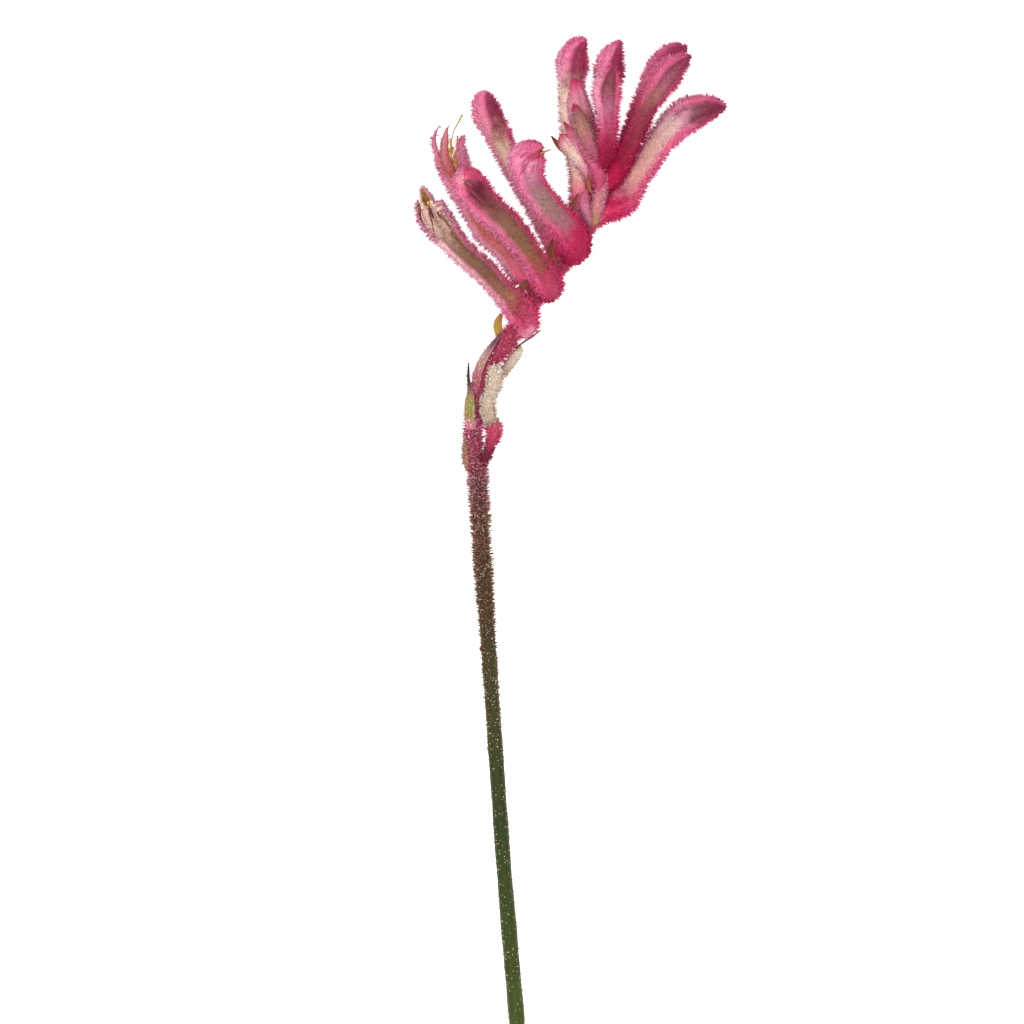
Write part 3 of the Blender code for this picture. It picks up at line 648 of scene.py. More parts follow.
def stemSkinMaterial():
    # waxy green rind: a soft gloss, faint length-wise fibres, reddening toward the flowers
    material, tree, shader = newMaterial("stem_rind", {"Roughness": 0.55, "Specular IOR Level": 0.2})
    along = addNode(tree, "ShaderNodeAttribute", attribute_name="along")
    place = addNode(tree, "ShaderNodeTexCoord")
    acrossScale, alongScale = 1 / (stem["fibreMm"] * mm), 1 / (stem["fibreLengthMm"] * mm)
    stretch = addNode(tree, "ShaderNodeMapping", {
        "Vector": place.outputs["Object"], "Scale": (acrossScale, alongScale, acrossScale)})
    fibres = addNode(tree, "ShaderNodeTexNoise", {"Vector": stretch.outputs[0], "Scale": 1.0, "Detail": 3.0})
    patches = addNode(tree, "ShaderNodeTexNoise", {
        "Vector": place.outputs["Object"], "Scale": 1 / (stem["patchMm"] * mm), "Detail": 3.0})
    drift = addNode(tree, "ShaderNodeMath", {0: patches.outputs["Fac"], 1: 0.5}, operation="SUBTRACT")
    nudge = addNode(tree, "ShaderNodeMath", {
        0: drift.outputs[0], 1: stem["patchShift"], 2: along.outputs["Fac"]}, operation="MULTIPLY_ADD")
    body = addNode(tree, "ShaderNodeValToRGB", {"Fac": nudge.outputs[0]})
    setStops(body, stem["colours"])
    gain = addNode(tree, "ShaderNodeMapRange", {
        "Value": fibres.outputs["Fac"], **noiseBand, "To Min": stem["fibreDark"], "To Max": stem["fibreLight"]})
    final = addNode(tree, "ShaderNodeVectorMath", {
        0: body.outputs["Color"], "Scale": gain.outputs[0]}, operation="SCALE")
    tree.links.new(final.outputs[0], shader.inputs["Base Color"])
    bump = addNode(tree, "ShaderNodeBump", {
        "Height": fibres.outputs["Fac"], "Distance": stem["fibreRelief"] * mm, "Strength": 0.5})
    tree.links.new(bump.outputs["Normal"], shader.inputs["Normal"])
    return material


def cutFaceMaterial():
    # the cut: wet, pale pith with a darker green rind, speckled by its vessels
    material, tree, shader = newMaterial("stem_pith", {"Roughness": 0.45, "Specular IOR Level": 0.45})
    ring = addNode(tree, "ShaderNodeAttribute", attribute_name="crease")
    place = addNode(tree, "ShaderNodeTexCoord")
    vessels = addNode(tree, "ShaderNodeTexVoronoi", {
        "Vector": place.outputs["Object"], "Scale": 1 / (stem["vesselMm"] * mm)})
    body = addNode(tree, "ShaderNodeValToRGB", {"Fac": ring.outputs["Fac"]})
    pith, rind = stem["cutColours"]["pith"], stem["cutColours"]["rind"]
    setStops(body, [(0, pith), (0.72, pith), (0.9, rind)])
    gain = addNode(tree, "ShaderNodeMapRange", {
        "Value": vessels.outputs["Distance"], "From Min": 0.0, "From Max": 0.5, "To Min": stem["vesselDark"],
        "To Max": stem["vesselLight"]})
    final = addNode(tree, "ShaderNodeVectorMath", {
        0: body.outputs["Color"], "Scale": gain.outputs[0]}, operation="SCALE")
    tree.links.new(final.outputs[0], shader.inputs["Base Color"])
    return material


def makeStem():
    line = stemLine[:, :3]
    share = np.linspace(0.0, 1.0, len(line))

    def ribs(turn):
        ridges = 1.0 + stem["ribDepth"] * np.cos(stem["ribs"] * turn)[None, :]
        swell = 1.0 + sum(depth * np.sin(share * pace + start) for depth, pace, start in stem["swellings"])
        return ridges * swell[:, None]

    grid, tangents = tubeGrid(line, stemLine[:, 3], fineness["stemSides"], ribs)
    skin = newSkin()
    index = addGrid(skin, grid, share[:, None], 1.0, tangents)
    # the cut end, a little hollow
    end, inward = line[0], tangents[0]
    inner = stem["cutRings"]
    rings = np.stack([end + (grid[0] - end) * part + inward * stem["cutHollow"] * (1 - part) for part in inner])
    last = addPoints(skin, rings.reshape(-1, 3), 0.0, np.repeat(inner, grid.shape[1]), inward)
    stack = np.vstack([index[:1], last.reshape(len(inner), -1)])
    joinRings(skin, stack, 1)
    addFan(skin, stack[-1], end + inward * stem["cutHollow"], 0.0, 0.0, inward, 1, False)
    addFan(skin, index[-1], line[-1] + tangents[-1] * stem["tipReach"], 1.0, 1.0, tangents[-1])
    piece = finishPiece("stem_skin", skin, [stemSkinMaterial(), cutFaceMaterial()], "stem_skin", ["stem"])
    growCoat(piece, "stem", seeds["stem"], stem["hairColours"], contrast=stem["hairContrast"])


# flowers

flowerForm = {
    "openTurn": (0.55, 0.78),  # share of the length over which the sky side turns from tube to cap
    "seamSpacing": 60.0,       # degrees, for six seams
    "ridgeDepth": 0.03,
    "ridgeStart": 0.58,
    "ridgeGrowth": 0.2,
    "grooveDepth": 0.06,
    "grooveWidth": 8.0,        # degrees
    "sideGroove": 0.35,        # depth of the seams that aren't beside the cap's face
    "faceWidth": 48.0,         # degrees to either side within which a seam is beside the face
    "farStart": 0.2,           # painted shade: how far round the side away from the key light it starts
    "farShare": 0.3,           # how much of that painted shade is left on the face
    "lumps": [(0.01, 3.0, 23.0, 1), (0.008, 5.0, -41.0, 2)],  # depth, number round and along, and seed
    "capReach": 0.25,
    "throat": [(0.2, 0.9), (0.8, 0.7), (2.0, 0.4)],  # depth below the rim and share of its width
    "throatDepth": 2.4,
}

flowers = {
    # line holds x, y, z and radius; roll turns the seams from the sky side and tilt the face of the
    # tube and of the cap, in degrees; skin is the colour of the face and flank that of the sides
    # crease is the colour of the painted shade in the seams
    "flower_1": {
        "line": [(0.8, 204.4, 13.8, 1.8), (1.8, 206.4, 15.2, 2.6), (1.0, 209.0, 16.4, 3.4),
            (-0.8, 211.4, 16.8, 3.5), (-2.3, 213.2, 16.5, 3.1), (-3.8, 214.6, 16.2, 2.75),
            (-8.8, 220.0, 15.4, 2.7), (-13.8, 224.5, 14.6, 2.8), (-17.2, 228.0, 14.2, 2.95),
            (-20.0, 231.5, 13.8, 3.5), (-22.0, 234.4, 13.5, 3.9), (-23.4, 236.7, 13.3, 4.0)],
        "roll": 27, "tilt": (4, 4), "crease": "6E3A28",
        "skin": [(0, "C06880"), (0.06, "E090A4"), (0.11, "C44C70"), (0.18, "923444"), (0.26, "A06454"),
            (0.45, "7E5040"), (0.7, "846250"), (0.85, "B89088"), (1, "C09098")],
        "flank": [(0, "E48CA4"), (0.06, "E66C92"), (0.12, "F35A89"), (0.3, "EE9AB0"), (0.8, "F9C0CE"),
            (1, "F3B4C0")]},
    "flower_2": {
        "line": [(5.5, 215.5, 12.8, 1.3), (3.6, 217.4, 11.8, 2.2), (1.6, 219.8, 11.2, 3.2),
            (-0.8, 222.8, 11.3, 3.15), (-3.9, 226.7, 11.3, 3.0), (-8.5, 230.9, 11.0, 2.95),
            (-11.7, 236.2, 10.8, 2.8), (-14.6, 241.2, 10.5, 2.95), (-16.4, 245.6, 10.2, 3.5),
            (-17.6, 248.8, 10.0, 4.0), (-18.2, 251.7, 9.8, 4.2)],
        "roll": 3, "tilt": (-5, 0), "crease": "7E3038",
        "skin": [(0, "C01848"), (0.12, "EC6488"), (0.2, "D8687C"), (0.3, "C4686C"), (0.6, "C06A60"),
            (0.78, "B65E58"), (1, "B05C58")],
        # the flank is painted lighter: painted light against the shade of the flower above it
        "flank": [(0, "D81B58"), (0.15, "FF87A8"), (0.35, "FFB8D0"), (0.7, "FFA2BE"), (1, "F78BA8")]},
    "flower_3": {
        "line": [(6.6, 214.0, 14.0, 1.6), (7.8, 215.3, 16.4, 2.5), (7.4, 217.6, 18.8, 3.3),
            (5.9, 220.2, 19.6, 3.2), (2.9, 224.5, 19.9, 2.75), (-1.8, 231.0, 20.1, 3.2),
            (-5.7, 234.7, 20.3, 3.5), (-9.5, 238.4, 20.5, 3.65), (-11.7, 241.0, 20.8, 3.9),
            (-13.1, 242.8, 21.6, 4.0), (-14.0, 244.1, 23.2, 3.2), (-14.4, 244.5, 25.0, 1.7),
            (-14.4, 244.2, 26.2, 0.5)],
        "roll": 16, "tilt": (8, 12), "crease": "5E2030",
        "skin": [(0, "A01440"), (0.12, "BC4264"), (0.2, "A83A50"), (0.28, "905044"), (0.4, "845A44"),
            (0.58, "84584A"), (0.68, "84504C"), (0.78, "743440"), (0.9, "6E283A"), (1, "A85868")],
        "flank": [(0, "BC174F"), (0.12, "E65580"), (0.3, "DC6889"), (0.6, "EA7F9F"), (0.82, "F3749F"),
            (0.95, "FB7FA3"), (1, "FBB4B1")]},
    "flower_4": {
        "line": [(11.2, 223.1, 12.8, 1.3), (10.4, 225.7, 11.2, 1.9), (9.4, 228.5, 9.8, 2.9),
            (8.2, 231.1, 8.6, 3.0), (6.0, 235.0, 7.4, 2.7), (0.8, 244.1, 6.0, 2.7), (-4.0, 252.7, 5.0, 2.75),
            (-6.2, 257.3, 4.3, 3.05), (-8.2, 261.0, 3.9, 3.4), (-8.9, 263.6, 3.7, 3.3),
            (-9.2, 266.0, 3.7, 2.5), (-9.0, 267.2, 3.8, 1.5), (-8.8, 267.8, 3.9, 0.5)],
        "roll": 12, "tilt": (-2, 44), "openTurn": (0.74, 0.84), "crease": "8A3454",
        # the first stops of skin and flank, at its foot, are painted lighter: painted light against the shade
        # of the flowers above
        "skin": [(0, "E83068"), (0.12, "FF6C98"), (0.22, "D08080"), (0.32, "DAB4A2"), (0.5, "DCC2AA"),
            (0.7, "CEAE9A"), (0.77, "A87468"), (0.83, "8C3E50"), (0.92, "84324A"), (1, "A04468")],
        "flank": [(0, "F73A73"), (0.12, "FF84B1"), (0.3, "EA93A6"), (0.66, "E193A4"), (0.8, "EB90A9"),
            (0.87, "E5849E"), (0.94, "EB80A3"), (1, "EB739F")]},
    "flower_5": {
        "line": [(12.7, 223.9, 14.2, 2.0), (14.3, 225.4, 16.6, 3.0), (14.4, 227.8, 18.6, 3.7),
            (12.9, 230.6, 19.8, 3.75), (10.9, 233.5, 20.3, 3.45), (7.7, 236.6, 20.7, 3.5),
            (5.4, 239.6, 21.0, 3.3), (3.6, 242.1, 21.3, 3.35), (2.2, 245.0, 21.5, 3.8),
            (1.7, 248.6, 21.8, 4.45), (1.8, 250.4, 22.8, 4.3), (2.6, 251.4, 24.0, 3.5),
            (3.9, 251.9, 25.3, 2.4), (5.1, 252.2, 26.2, 1.3), (5.7, 252.1, 26.6, 0.4)],
        "roll": 45, "tilt": (8, 12), "fur": 0.8, "crease": "A03868",
        "skin": [(0, "A81440"), (0.14, "A8284E"), (0.24, "B02850"), (0.32, "A0606A"), (0.44, "946C6A"),
            (0.56, "94706C"), (0.64, "A46C7C"), (0.72, "C47C94"), (0.86, "DC8CA4"), (0.94, "B84860"),
            (1, "7E2434")],
        "flank": [(0, "B8204C"), (0.16, "CC3662"), (0.3, "E1517C"), (0.42, "E17496"), (0.56, "E683A3"),
            (0.7, "F37AA8"), (0.88, "F98EB2"), (1, "C6486A")]},
    "flower_6": {
        "line": [(17.4, 231.1, 13.3, 1.4), (16.5, 234.0, 12.6, 1.9), (16.1, 237.1, 11.8, 2.75),
            (16.0, 240.0, 11.0, 2.7), (15.9, 243.6, 10.2, 2.5), (15.3, 248.3, 9.6, 2.4),
            (14.0, 254.8, 9.0, 2.5), (13.4, 261.3, 8.6, 2.7), (13.3, 266.5, 8.4, 2.8),
            (13.3, 270.4, 8.3, 3.0), (13.5, 273.0, 8.2, 3.55), (13.7, 275.6, 8.2, 3.8),
            (14.4, 277.9, 8.3, 3.1), (15.3, 279.5, 8.5, 2.3), (16.4, 280.4, 8.7, 1.5),
            (17.2, 280.7, 8.9, 0.6)],
        "roll": 5, "tilt": (-18, 35), "openTurn": (0.74, 0.84), "crease": "80284C",
        # its foot and lower tube are painted lighter: painted light against the shade of the buds and flowers
        # beside it
        "skin": [(0, "D87878"), (0.1, "F884A0"), (0.18, "FC7894"), (0.26, "ECB0A0"), (0.38, "F4D6C6"),
            (0.72, "E2C4B4"), (0.79, "B88080"), (0.84, "9C485A"), (0.92, "923650"), (1, "A04064")],
        "flank": [(0, "EF6790"), (0.14, "FF84A5"), (0.28, "F6A5A2"), (0.5, "F6BFB6"), (0.74, "F6C3BA"),
            (0.81, "F09CB4"), (0.9, "EE82A8"), (1, "D45788")]},
    "flower_7": {
        "line": [(20.3, 244.4, 12.8, 1.0), (20.5, 247.5, 10.6, 1.2), (21.7, 252.2, 9.8, 1.8),
            (22.6, 257.4, 9.2, 1.9), (22.8, 263.9, 8.0, 2.2), (23.0, 269.1, 7.4, 2.7),
            (23.3, 272.5, 7.2, 3.45), (23.5, 275.3, 7.2, 3.25), (24.5, 277.9, 7.3, 2.2),
            (25.3, 279.5, 7.4, 1.45), (25.9, 280.4, 7.5, 0.9), (26.1, 280.9, 7.6, 0.3)],
        "roll": 12, "tilt": (20, 42), "crease": "7E2848",
        "skin": [(0, "900C30"), (0.3, "B02850"), (0.6, "C05074"), (0.75, "9C4060"), (0.9, "903854"),
            (1, "A04064")],
        "flank": [(0, "A20E3A"), (0.35, "CF3662"), (0.6, "F37AA3"), (0.8, "F78BAC"), (0.95, "EA7FA3"),
            (1, "C65180")]},
    "flower_8": {
        "line": [(20.8, 246.0, 13.6, 1.0), (21.6, 248.0, 16.8, 1.1), (22.3, 250.9, 18.8, 1.4),
            (22.5, 253.2, 19.4, 2.1), (22.7, 255.3, 19.7, 2.05), (22.8, 257.9, 19.9, 2.1),
            (22.7, 260.5, 20.0, 2.4), (22.5, 263.4, 20.1, 2.85), (22.4, 266.0, 20.2, 3.3),
            (22.5, 268.1, 20.3, 3.3), (23.0, 270.1, 20.4, 2.6), (23.5, 271.7, 20.5, 1.9),
            (23.9, 273.0, 20.6, 1.1), (24.1, 273.8, 20.7, 0.3)],
        "roll": 40, "tilt": (12, 10), "crease": "7A2844",
        "skin": [(0, "890B31"), (0.25, "941B3D"), (0.38, "A02A48"), (0.5, "AF4867"), (0.62, "AF6385"),
            (0.72, "A0576A"), (0.82, "8D4C57"), (0.94, "853D4C"), (1, "903557")],
        "flank": [(0, "A20E3A"), (0.3, "BC2D58"), (0.42, "D85580"), (0.55, "F78BAC"), (0.8, "FFA2BE"),
            (0.95, "EA7096"), (1, "C64876")]},
    "flower_9": {
        "line": [(19.6, 238.8, 13.0, 1.3), (21.1, 240.8, 10.4, 1.6), (23.4, 244.5, 8.6, 2.2),
            (25.7, 249.1, 7.8, 2.3), (28.5, 254.8, 7.2, 2.2), (30.4, 259.7, 6.8, 2.3),
            (32.2, 264.2, 6.4, 2.5), (33.9, 267.8, 6.1, 2.8), (35.5, 271.2, 5.9, 3.2),
            (37.2, 274.3, 5.8, 3.35), (39.0, 276.6, 5.8, 3.0), (41.0, 278.1, 5.9, 2.1),
            (42.6, 278.8, 6.0, 1.1), (43.6, 278.9, 6.1, 0.35)],
        "roll": 0, "tilt": (0, 0), "crease": "8A2850",
        "skin": [(0, "88102A"), (0.3, "A42040"), (0.5, "AB3052"), (0.7, "BA4A70"), (0.85, "AF4A70"),
            (1, "822D4A")],
        "flank": [(0, "8A0826"), (0.3, "BF234C"), (0.5, "E1527B"), (0.7, "F282A2"), (0.9, "D86894"),
            (1, "AD456A")]},
    "flower_10": {
        "line": [(19.8, 240.6, 13.0, 1.6), (21.8, 243.0, 13.0, 2.2), (24.1, 245.9, 13.2, 2.6),
            (26.0, 248.8, 13.2, 2.4), (27.8, 252.2, 13.0, 2.3), (29.8, 256.1, 12.8, 2.3),
            (31.1, 259.7, 12.7, 2.35), (32.8, 263.8, 12.6, 2.45), (35.6, 267.9, 12.6, 3.0),
            (38.2, 271.7, 12.6, 3.4), (40.4, 273.9, 12.6, 2.8), (42.4, 275.5, 12.7, 1.8),
            (43.8, 276.4, 12.8, 0.9), (44.5, 276.6, 12.9, 0.3)],
        "roll": 54, "tilt": (15, 24), "crease": "742844",
        "skin": [(0, "961436"), (0.12, "B81C48"), (0.22, "9E163A"), (0.34, "922A42"), (0.55, "8C3F4C"),
            (0.66, "A46864"), (0.73, "A46170"), (0.8, "9A586A"), (0.9, "8C485C"), (1, "7E2D43")],
        "flank": [(0, "A50D38"), (0.15, "D81654"), (0.3, "CB275A"), (0.5, "B5415E"), (0.66, "D86884"),
            (0.78, "E16C90"), (0.9, "E16C90"), (1, "B1496A")]},
    "flower_11": {
        "line": [(17.9, 231.9, 13.5, 1.3), (20.0, 234.1, 13.0, 1.6), (22.4, 236.1, 12.5, 2.3),
            (24.4, 237.6, 12.0, 3.3), (26.7, 239.5, 11.4, 3.7), (28.3, 241.8, 10.7, 3.25),
            (30.3, 245.1, 10.6, 2.95), (32.8, 248.8, 10.2, 2.95), (35.6, 253.1, 9.4, 3.1),
            (38.0, 256.1, 8.6, 3.35), (40.6, 259.1, 7.2, 3.9), (43.4, 261.4, 5.9, 4.2),
            (46.5, 262.7, 4.8, 3.65), (49.1, 263.5, 4.1, 3.0), (51.2, 263.8, 4.2, 2.1),
            (52.6, 263.8, 4.4, 1.2), (53.6, 263.6, 4.6, 0.35)],
        "roll": 36, "tilt": (-12, 26), "openTurn": (0.68, 0.8), "crease": "682038",
        "skin": [(0, "D88890"), (0.08, "D84870"), (0.14, "C02450"), (0.2, "B02C50"), (0.27, "C07480"),
            (0.36, "CC9088"), (0.56, "C89C94"), (0.68, "D4ACAC"), (0.74, "C0849A"), (0.8, "885064"),
            (0.88, "803C4C"), (1, "783044")],
        # the flank is painted lighter: painted light against the shade that flower_10 casts on it
        "flank": [(0, "E07C92"), (0.08, "E84271"), (0.18, "E8537E"), (0.3, "F091A3"), (0.6, "F9A6B7"),
            (0.7, "FCAAC3"), (0.8, "F580A7"), (0.9, "DC6892"), (1, "B74B71")]},
}

# tepals of the two split flowers: the turn of each from the sky side, then x, y, z and half width past
# the rim, the way its outer side looks at the tip, its width at the rim as a share, and how cupped it is
splitFlowers = {
    "flower_1": {
        "depth": 7.6,
        "outer": [(0, "BC9C8C"), (0.45, "D4B4A8"), (1, "D09CA8")],
        "edges": [(0, "D090A8"), (1, "D890AC")],
        "tepals": [
            (180, [(-23.8, 238.4, 10.6, 1.3), (-24.6, 240.2, 11.8, 1.25), (-25.4, 241.8, 12.8, 1.1),
             (-25.7, 242.6, 13.2, 0.75)], (0.0, 0.0, -1.0), 0.6, 0.5),
            (-78, [(-25.9, 235.8, 14.2, 1.3), (-26.3, 237.5, 14.3, 1.4), (-26.5, 238.7, 14.4, 1.0),
             (-26.5, 239.3, 14.5, 0.5)], (-0.9, 0.0, -0.45), 0.75, 0.45),
            (-28, [(-24.5, 236.7, 16.5, 0.95), (-24.4, 237.7, 16.5, 0.5)], (-0.3, 0.2, 1.0), 0.55),
            (24, [(-21.6, 237.9, 16.5, 1.1), (-20.9, 238.4, 16.1, 0.6)], (0.2, 0.3, 1.0), 0.6),
            (68, [(-20.2, 238.6, 14.8, 1.1), (-20.3, 238.9, 14.4, 0.6)], (0.8, 0.3, 0.6), 0.75),
            (125, [(-21.8, 237.9, 10.8, 1.3), (-22.2, 238.6, 11.1, 0.5)], (0.5, 0.2, -0.8), 0.8),
        ]},
    "flower_2": {
        "depth": 5.0,
        "outer": [(0, "B86458"), (0.4, "CC7874"), (0.8, "D08088"), (1, "C06068")],
        "edges": [(0, "E48098"), (0.6, "E488A4"), (1, "D06C80")],
        "tepals": [
            (-25, [(-19.6, 253.8, 13.0, 1.1), (-19.4, 255.6, 13.1, 0.85), (-19.1, 257.1, 13.0, 0.5),
             (-18.7, 258.2, 12.9, 0.25), (-18.5, 258.9, 12.9, 0.06)], (-0.2, 0.0, 1.0), 0.5),
            (-72, [(-22.2, 253.5, 10.5, 0.95), (-22.3, 255.1, 10.7, 0.75), (-22.0, 256.6, 10.7, 0.45),
             (-21.5, 257.7, 10.7, 0.26), (-21.0, 258.4, 10.6, 0.08)], (-0.7, 0.0, 0.7), 0.45),
            (50, [(-15.5, 253.8, 12.4, 1.25), (-15.4, 255.1, 12.3, 1.1), (-15.4, 255.6, 12.2, 0.8)],
             (0.5, 0.0, 1.0), 0.6),
            (100, [(-14.8, 251.7, 8.6, 1.2), (-14.8, 253.2, 8.8, 0.4)], (1.0, 0.2, -0.2), 0.6),
            (161, [(-17.4, 251.4, 6.4, 1.3), (-17.4, 253.2, 6.6, 0.4)], (0.4, 0.0, -1.0), 0.6),
            (-139, [(-20.5, 250.9, 6.9, 1.3), (-20.4, 253.0, 7.1, 0.4)], (-0.6, 0.0, -0.8), 0.6),
            # the torn corners of the broad tepal
            (40, [(-16.3, 254.4, 12.6, 0.5), (-16.4, 255.3, 12.8, 0.3), (-16.5, 255.9, 12.8, 0.08)],
             (0.2, 0.0, 1.0), 0.15),
            (50, [(-15.4, 255.1, 12.3, 0.4), (-15.3, 255.7, 12.4, 0.25), (-15.2, 256.2, 12.4, 0.08)],
             (0.4, 0.0, 1.0), 0.15),
            (58, [(-14.8, 254.8, 12.1, 0.5), (-14.6, 255.6, 12.2, 0.35), (-14.3, 256.4, 12.2, 0.08)],
             (0.5, 0.0, 1.0), 0.15),
        ]},
}

# thin organs that stand in the mouths: points, radii and what they are
organs = {
    "flower_1": [
        ([(-18.5, 229.6, 13.8), (-20.5, 232.2, 13.6), (-22.2, 234.9, 13.4), (-23.3, 236.5, 13.3)],
         (2.0, 2.7, 3.0, 2.4), "throat"),
        ([(-24.0, 238.0, 15.6), (-23.8, 238.7, 15.9)], (0.25, 0.36, 0.25), "pollen"),
        ([(-23.4, 237.6, 15.9), (-23.1, 238.3, 16.0)], (0.2, 0.3, 0.2), "pollen"),
        # the cream and the mauve edge of the ochre tepal
        ([(-25.2, 237.6, 12.6), (-25.8, 239.5, 13.2), (-26.1, 241.6, 14.0), (-25.7, 242.4, 14.2)],
         (0.25, 0.3, 0.25, 0.2), "curl"),
        ([(-22.5, 238.1, 12.6), (-23.1, 239.8, 13.1), (-24.2, 241.4, 13.8), (-25.1, 242.4, 14.1)],
         (0.35, 0.5, 0.45, 0.3), "rim"),
        # rolled tips, from the left to the right
        ([(-26.3, 238.6, 14.5), (-25.5, 238.2, 14.8), (-24.9, 237.4, 15.5)], (0.2, 0.26, 0.2), "curl"),
        ([(-24.1, 234.6, 16.2), (-24.3, 236.2, 16.3), (-24.0, 237.5, 16.2)], (0.3, 0.65, 0.2), "curl"),
        ([(-22.9, 236.6, 16.3), (-22.7, 237.8, 16.4), (-23.0, 238.8, 16.1)], (0.25, 0.4, 0.25), "curl"),
        ([(-22.0, 238.0, 16.4), (-21.0, 238.4, 16.3), (-20.0, 238.0, 15.9)], (0.35, 0.6, 0.4), "rim"),
        ([(-20.0, 237.2, 16.0), (-20.8, 237.0, 16.7), (-21.5, 236.3, 17.0)], (0.3, 0.5, 0.3), "curl"),
        # the seam that opens, its lining painted darker as shade in the gap, and the dark slits
        ([(-20.6, 235.4, 17.0), (-19.3, 233.5, 17.1), (-16.8, 230.0, 16.8), (-14.6, 227.0, 16.8)],
         (0.3, 0.3, 0.26, 0.15), "openSeamShade"),
        ([(-23.4, 237.4, 16.6), (-23.2, 235.0, 16.8), (-22.8, 233.0, 16.8), (-22.4, 231.1, 16.7)],
         (0.3, 0.34, 0.26, 0.12), "throat"),
        ([(-21.6, 236.2, 17.0), (-20.9, 234.8, 17.2), (-20.3, 233.8, 17.2)], (0.2, 0.3, 0.15), "throat"),
    ],
    "flower_2": [
        ([(-16.4, 245.6, 10.4), (-17.6, 248.8, 10.2), (-18.1, 251.4, 10.2)], (3.0, 3.3, 2.9), "lining"),
        ([(-17.3, 249.6, 10.6), (-17.7, 253.0, 11.0), (-17.8, 254.8, 11.4), (-17.2, 257.1, 11.8),
         (-16.1, 259.3, 12.2), (-15.0, 261.4, 12.6)], (0.2, 0.19, 0.18, 0.18, 0.2, 0.3), "style"),
        ([(-17.9, 252.2, 10.9), (-18.0, 253.8, 11.3), (-18.1, 255.2, 11.7)], (0.25, 0.36, 0.3), "pollen"),
        ([(-16.5, 255.8, 13.4), (-16.6, 254.3, 13.4), (-17.1, 252.2, 13.3), (-17.6, 250.1, 13.4)],
         (0.1, 0.22, 0.2, 0.1), "curl"),
    ],
    "flower_3": [
        ([(-14.4, 244.1, 25.8), (-14.7, 244.0, 26.9)], (0.22, 0.34, 0.2), "style"),
        ([(-14.6, 243.5, 25.5), (-13.9, 242.7, 25.2), (-12.6, 241.3, 25.4), (-11.1, 239.8, 24.9),
         (-9.5, 238.3, 24.6), (-8.0, 236.7, 24.2)], (0.2, 0.4, 0.4, 0.36, 0.3, 0.1), "fold"),
    ],
    "flower_5": [
        ([(5.2, 250.9, 26.4), (6.6, 251.4, 26.3), (8.0, 251.9, 26.3)], (0.3, 0.28, 0.22), "style"),
        # the folds that fan out over its cap, raised and painted darker as the shade in their valleys
        ([(4.2, 252.0, 26.9), (2.6, 251.4, 26.8), (0.8, 250.3, 26.5), (-1.3, 248.3, 25.1)],
         (0.1, 0.3, 0.35, 0.1), "fanShade"),
        ([(4.2, 251.2, 26.8), (3.4, 250.1, 26.6), (1.6, 247.8, 26.0), (-0.2, 245.0, 24.7)],
         (0.1, 0.3, 0.4, 0.1), "fanShade"),
        ([(4.7, 250.6, 26.3), (4.2, 249.3, 25.8), (3.2, 246.8, 25.4), (2.4, 243.7, 24.8)],
         (0.1, 0.3, 0.35, 0.1), "fanShade"),
    ],
}


def seams(turn, roll, share, face):
    # how deep each point lies in one of the six seams, 0 to 1; those beside the face are the deepest
    half = flowerForm["seamSpacing"] / 2
    off = (np.degrees(turn) - roll + half) % (2 * half) - half
    growth = np.clip((share - flowerForm["ridgeStart"]) / flowerForm["ridgeGrowth"], 0.0, 1.0)
    depth = np.where(degreesOff(turn, face) < flowerForm["faceWidth"], 1.0, flowerForm["sideGroove"])
    return (np.exp(-(off / flowerForm["grooveWidth"]) ** 2) * depth)[None, :] * growth[:, None], growth


bladeForm = {
    "cup": 0.27,
    "thickness": 0.35,
    "marginThinning": 0.6,
    "pointedness": 6,         # the lower, the sooner it narrows to its point
    "narrowest": 0.03,
    "tipReach": 0.15,
    "crown": 0.4,
}


def blade(skin, stations, facing, slots=(0, 0), cup=bladeForm["cup"], startFacing=None,
          thickness=bladeForm["thickness"], crown=bladeForm["crown"]):
    # a cupped blade with a furry outer face and a bare inner one, pointed at its end
    rows = fineness["bladeRows"]
    line, _ = smoothLine(stations, rows)
    share = np.linspace(0.0, 1.0, rows)
    first = np.array(facing if startFacing is None else startFacing, float)
    look = unit(first + (np.array(facing, float) - first) * ease(share)[:, None])
    ahead = unit(np.gradient(line[:, :3], axis=0))
    across = unit(np.cross(ahead, look))
    out = np.cross(across, ahead)
    half = line[:, 3] * np.sqrt(np.clip(1.0 - share ** bladeForm["pointedness"], 0.0, 1.0))
    half = half + bladeForm["narrowest"]
    u = np.linspace(-1.0, 1.0, fineness["bladeColumns"])
    spread = line[:, None, :3] + across[:, None] * (half[:, None] * u)[..., None]
    rise = cup * half[:, None] * (1.0 - u ** 2)
    body = 0.5 * thickness * (1.0 - bladeForm["marginThinning"] * u ** 2)
    outer = spread + out[:, None] * (rise + body)[..., None]
    inner = spread + out[:, None] * (rise - body)[..., None]
    grid = np.concatenate([outer, inner[:, ::-1]], 1)
    edge = np.concatenate([np.abs(u), np.abs(u[::-1])])
    index = addGrid(skin, grid, share[:, None], edge[None, :], ahead, slots, (True, False), crown)
    tip = line[-1, :3] + ahead[-1] * bladeForm["tipReach"]
    addFan(skin, index[-1], tip, 1.0, 1.0, ahead[-1], slots[0], False)
    addFan(skin, index[0], line[0, :3], 0.0, 0.0, ahead[0], slots[0], False)


def rod(skin, points, radii, sides=10, rows=24, furry=False):
    # a plain tapering rod for styles, anthers, rolled edges and awns
    line, _ = smoothLine(points, rows)
    share = np.linspace(0.0, 1.0, rows)
    thick = np.interp(share, np.linspace(0.0, 1.0, len(radii)), radii)
    grid, tangents = tubeGrid(line[:, :3], thick, sides)
    index = addGrid(skin, grid, share[:, None], 0.0, tangents, furry=(furry,))
    closeTube(skin, index, line[:, :3], tangents, 0.5 * thick[-1], furry=furry)


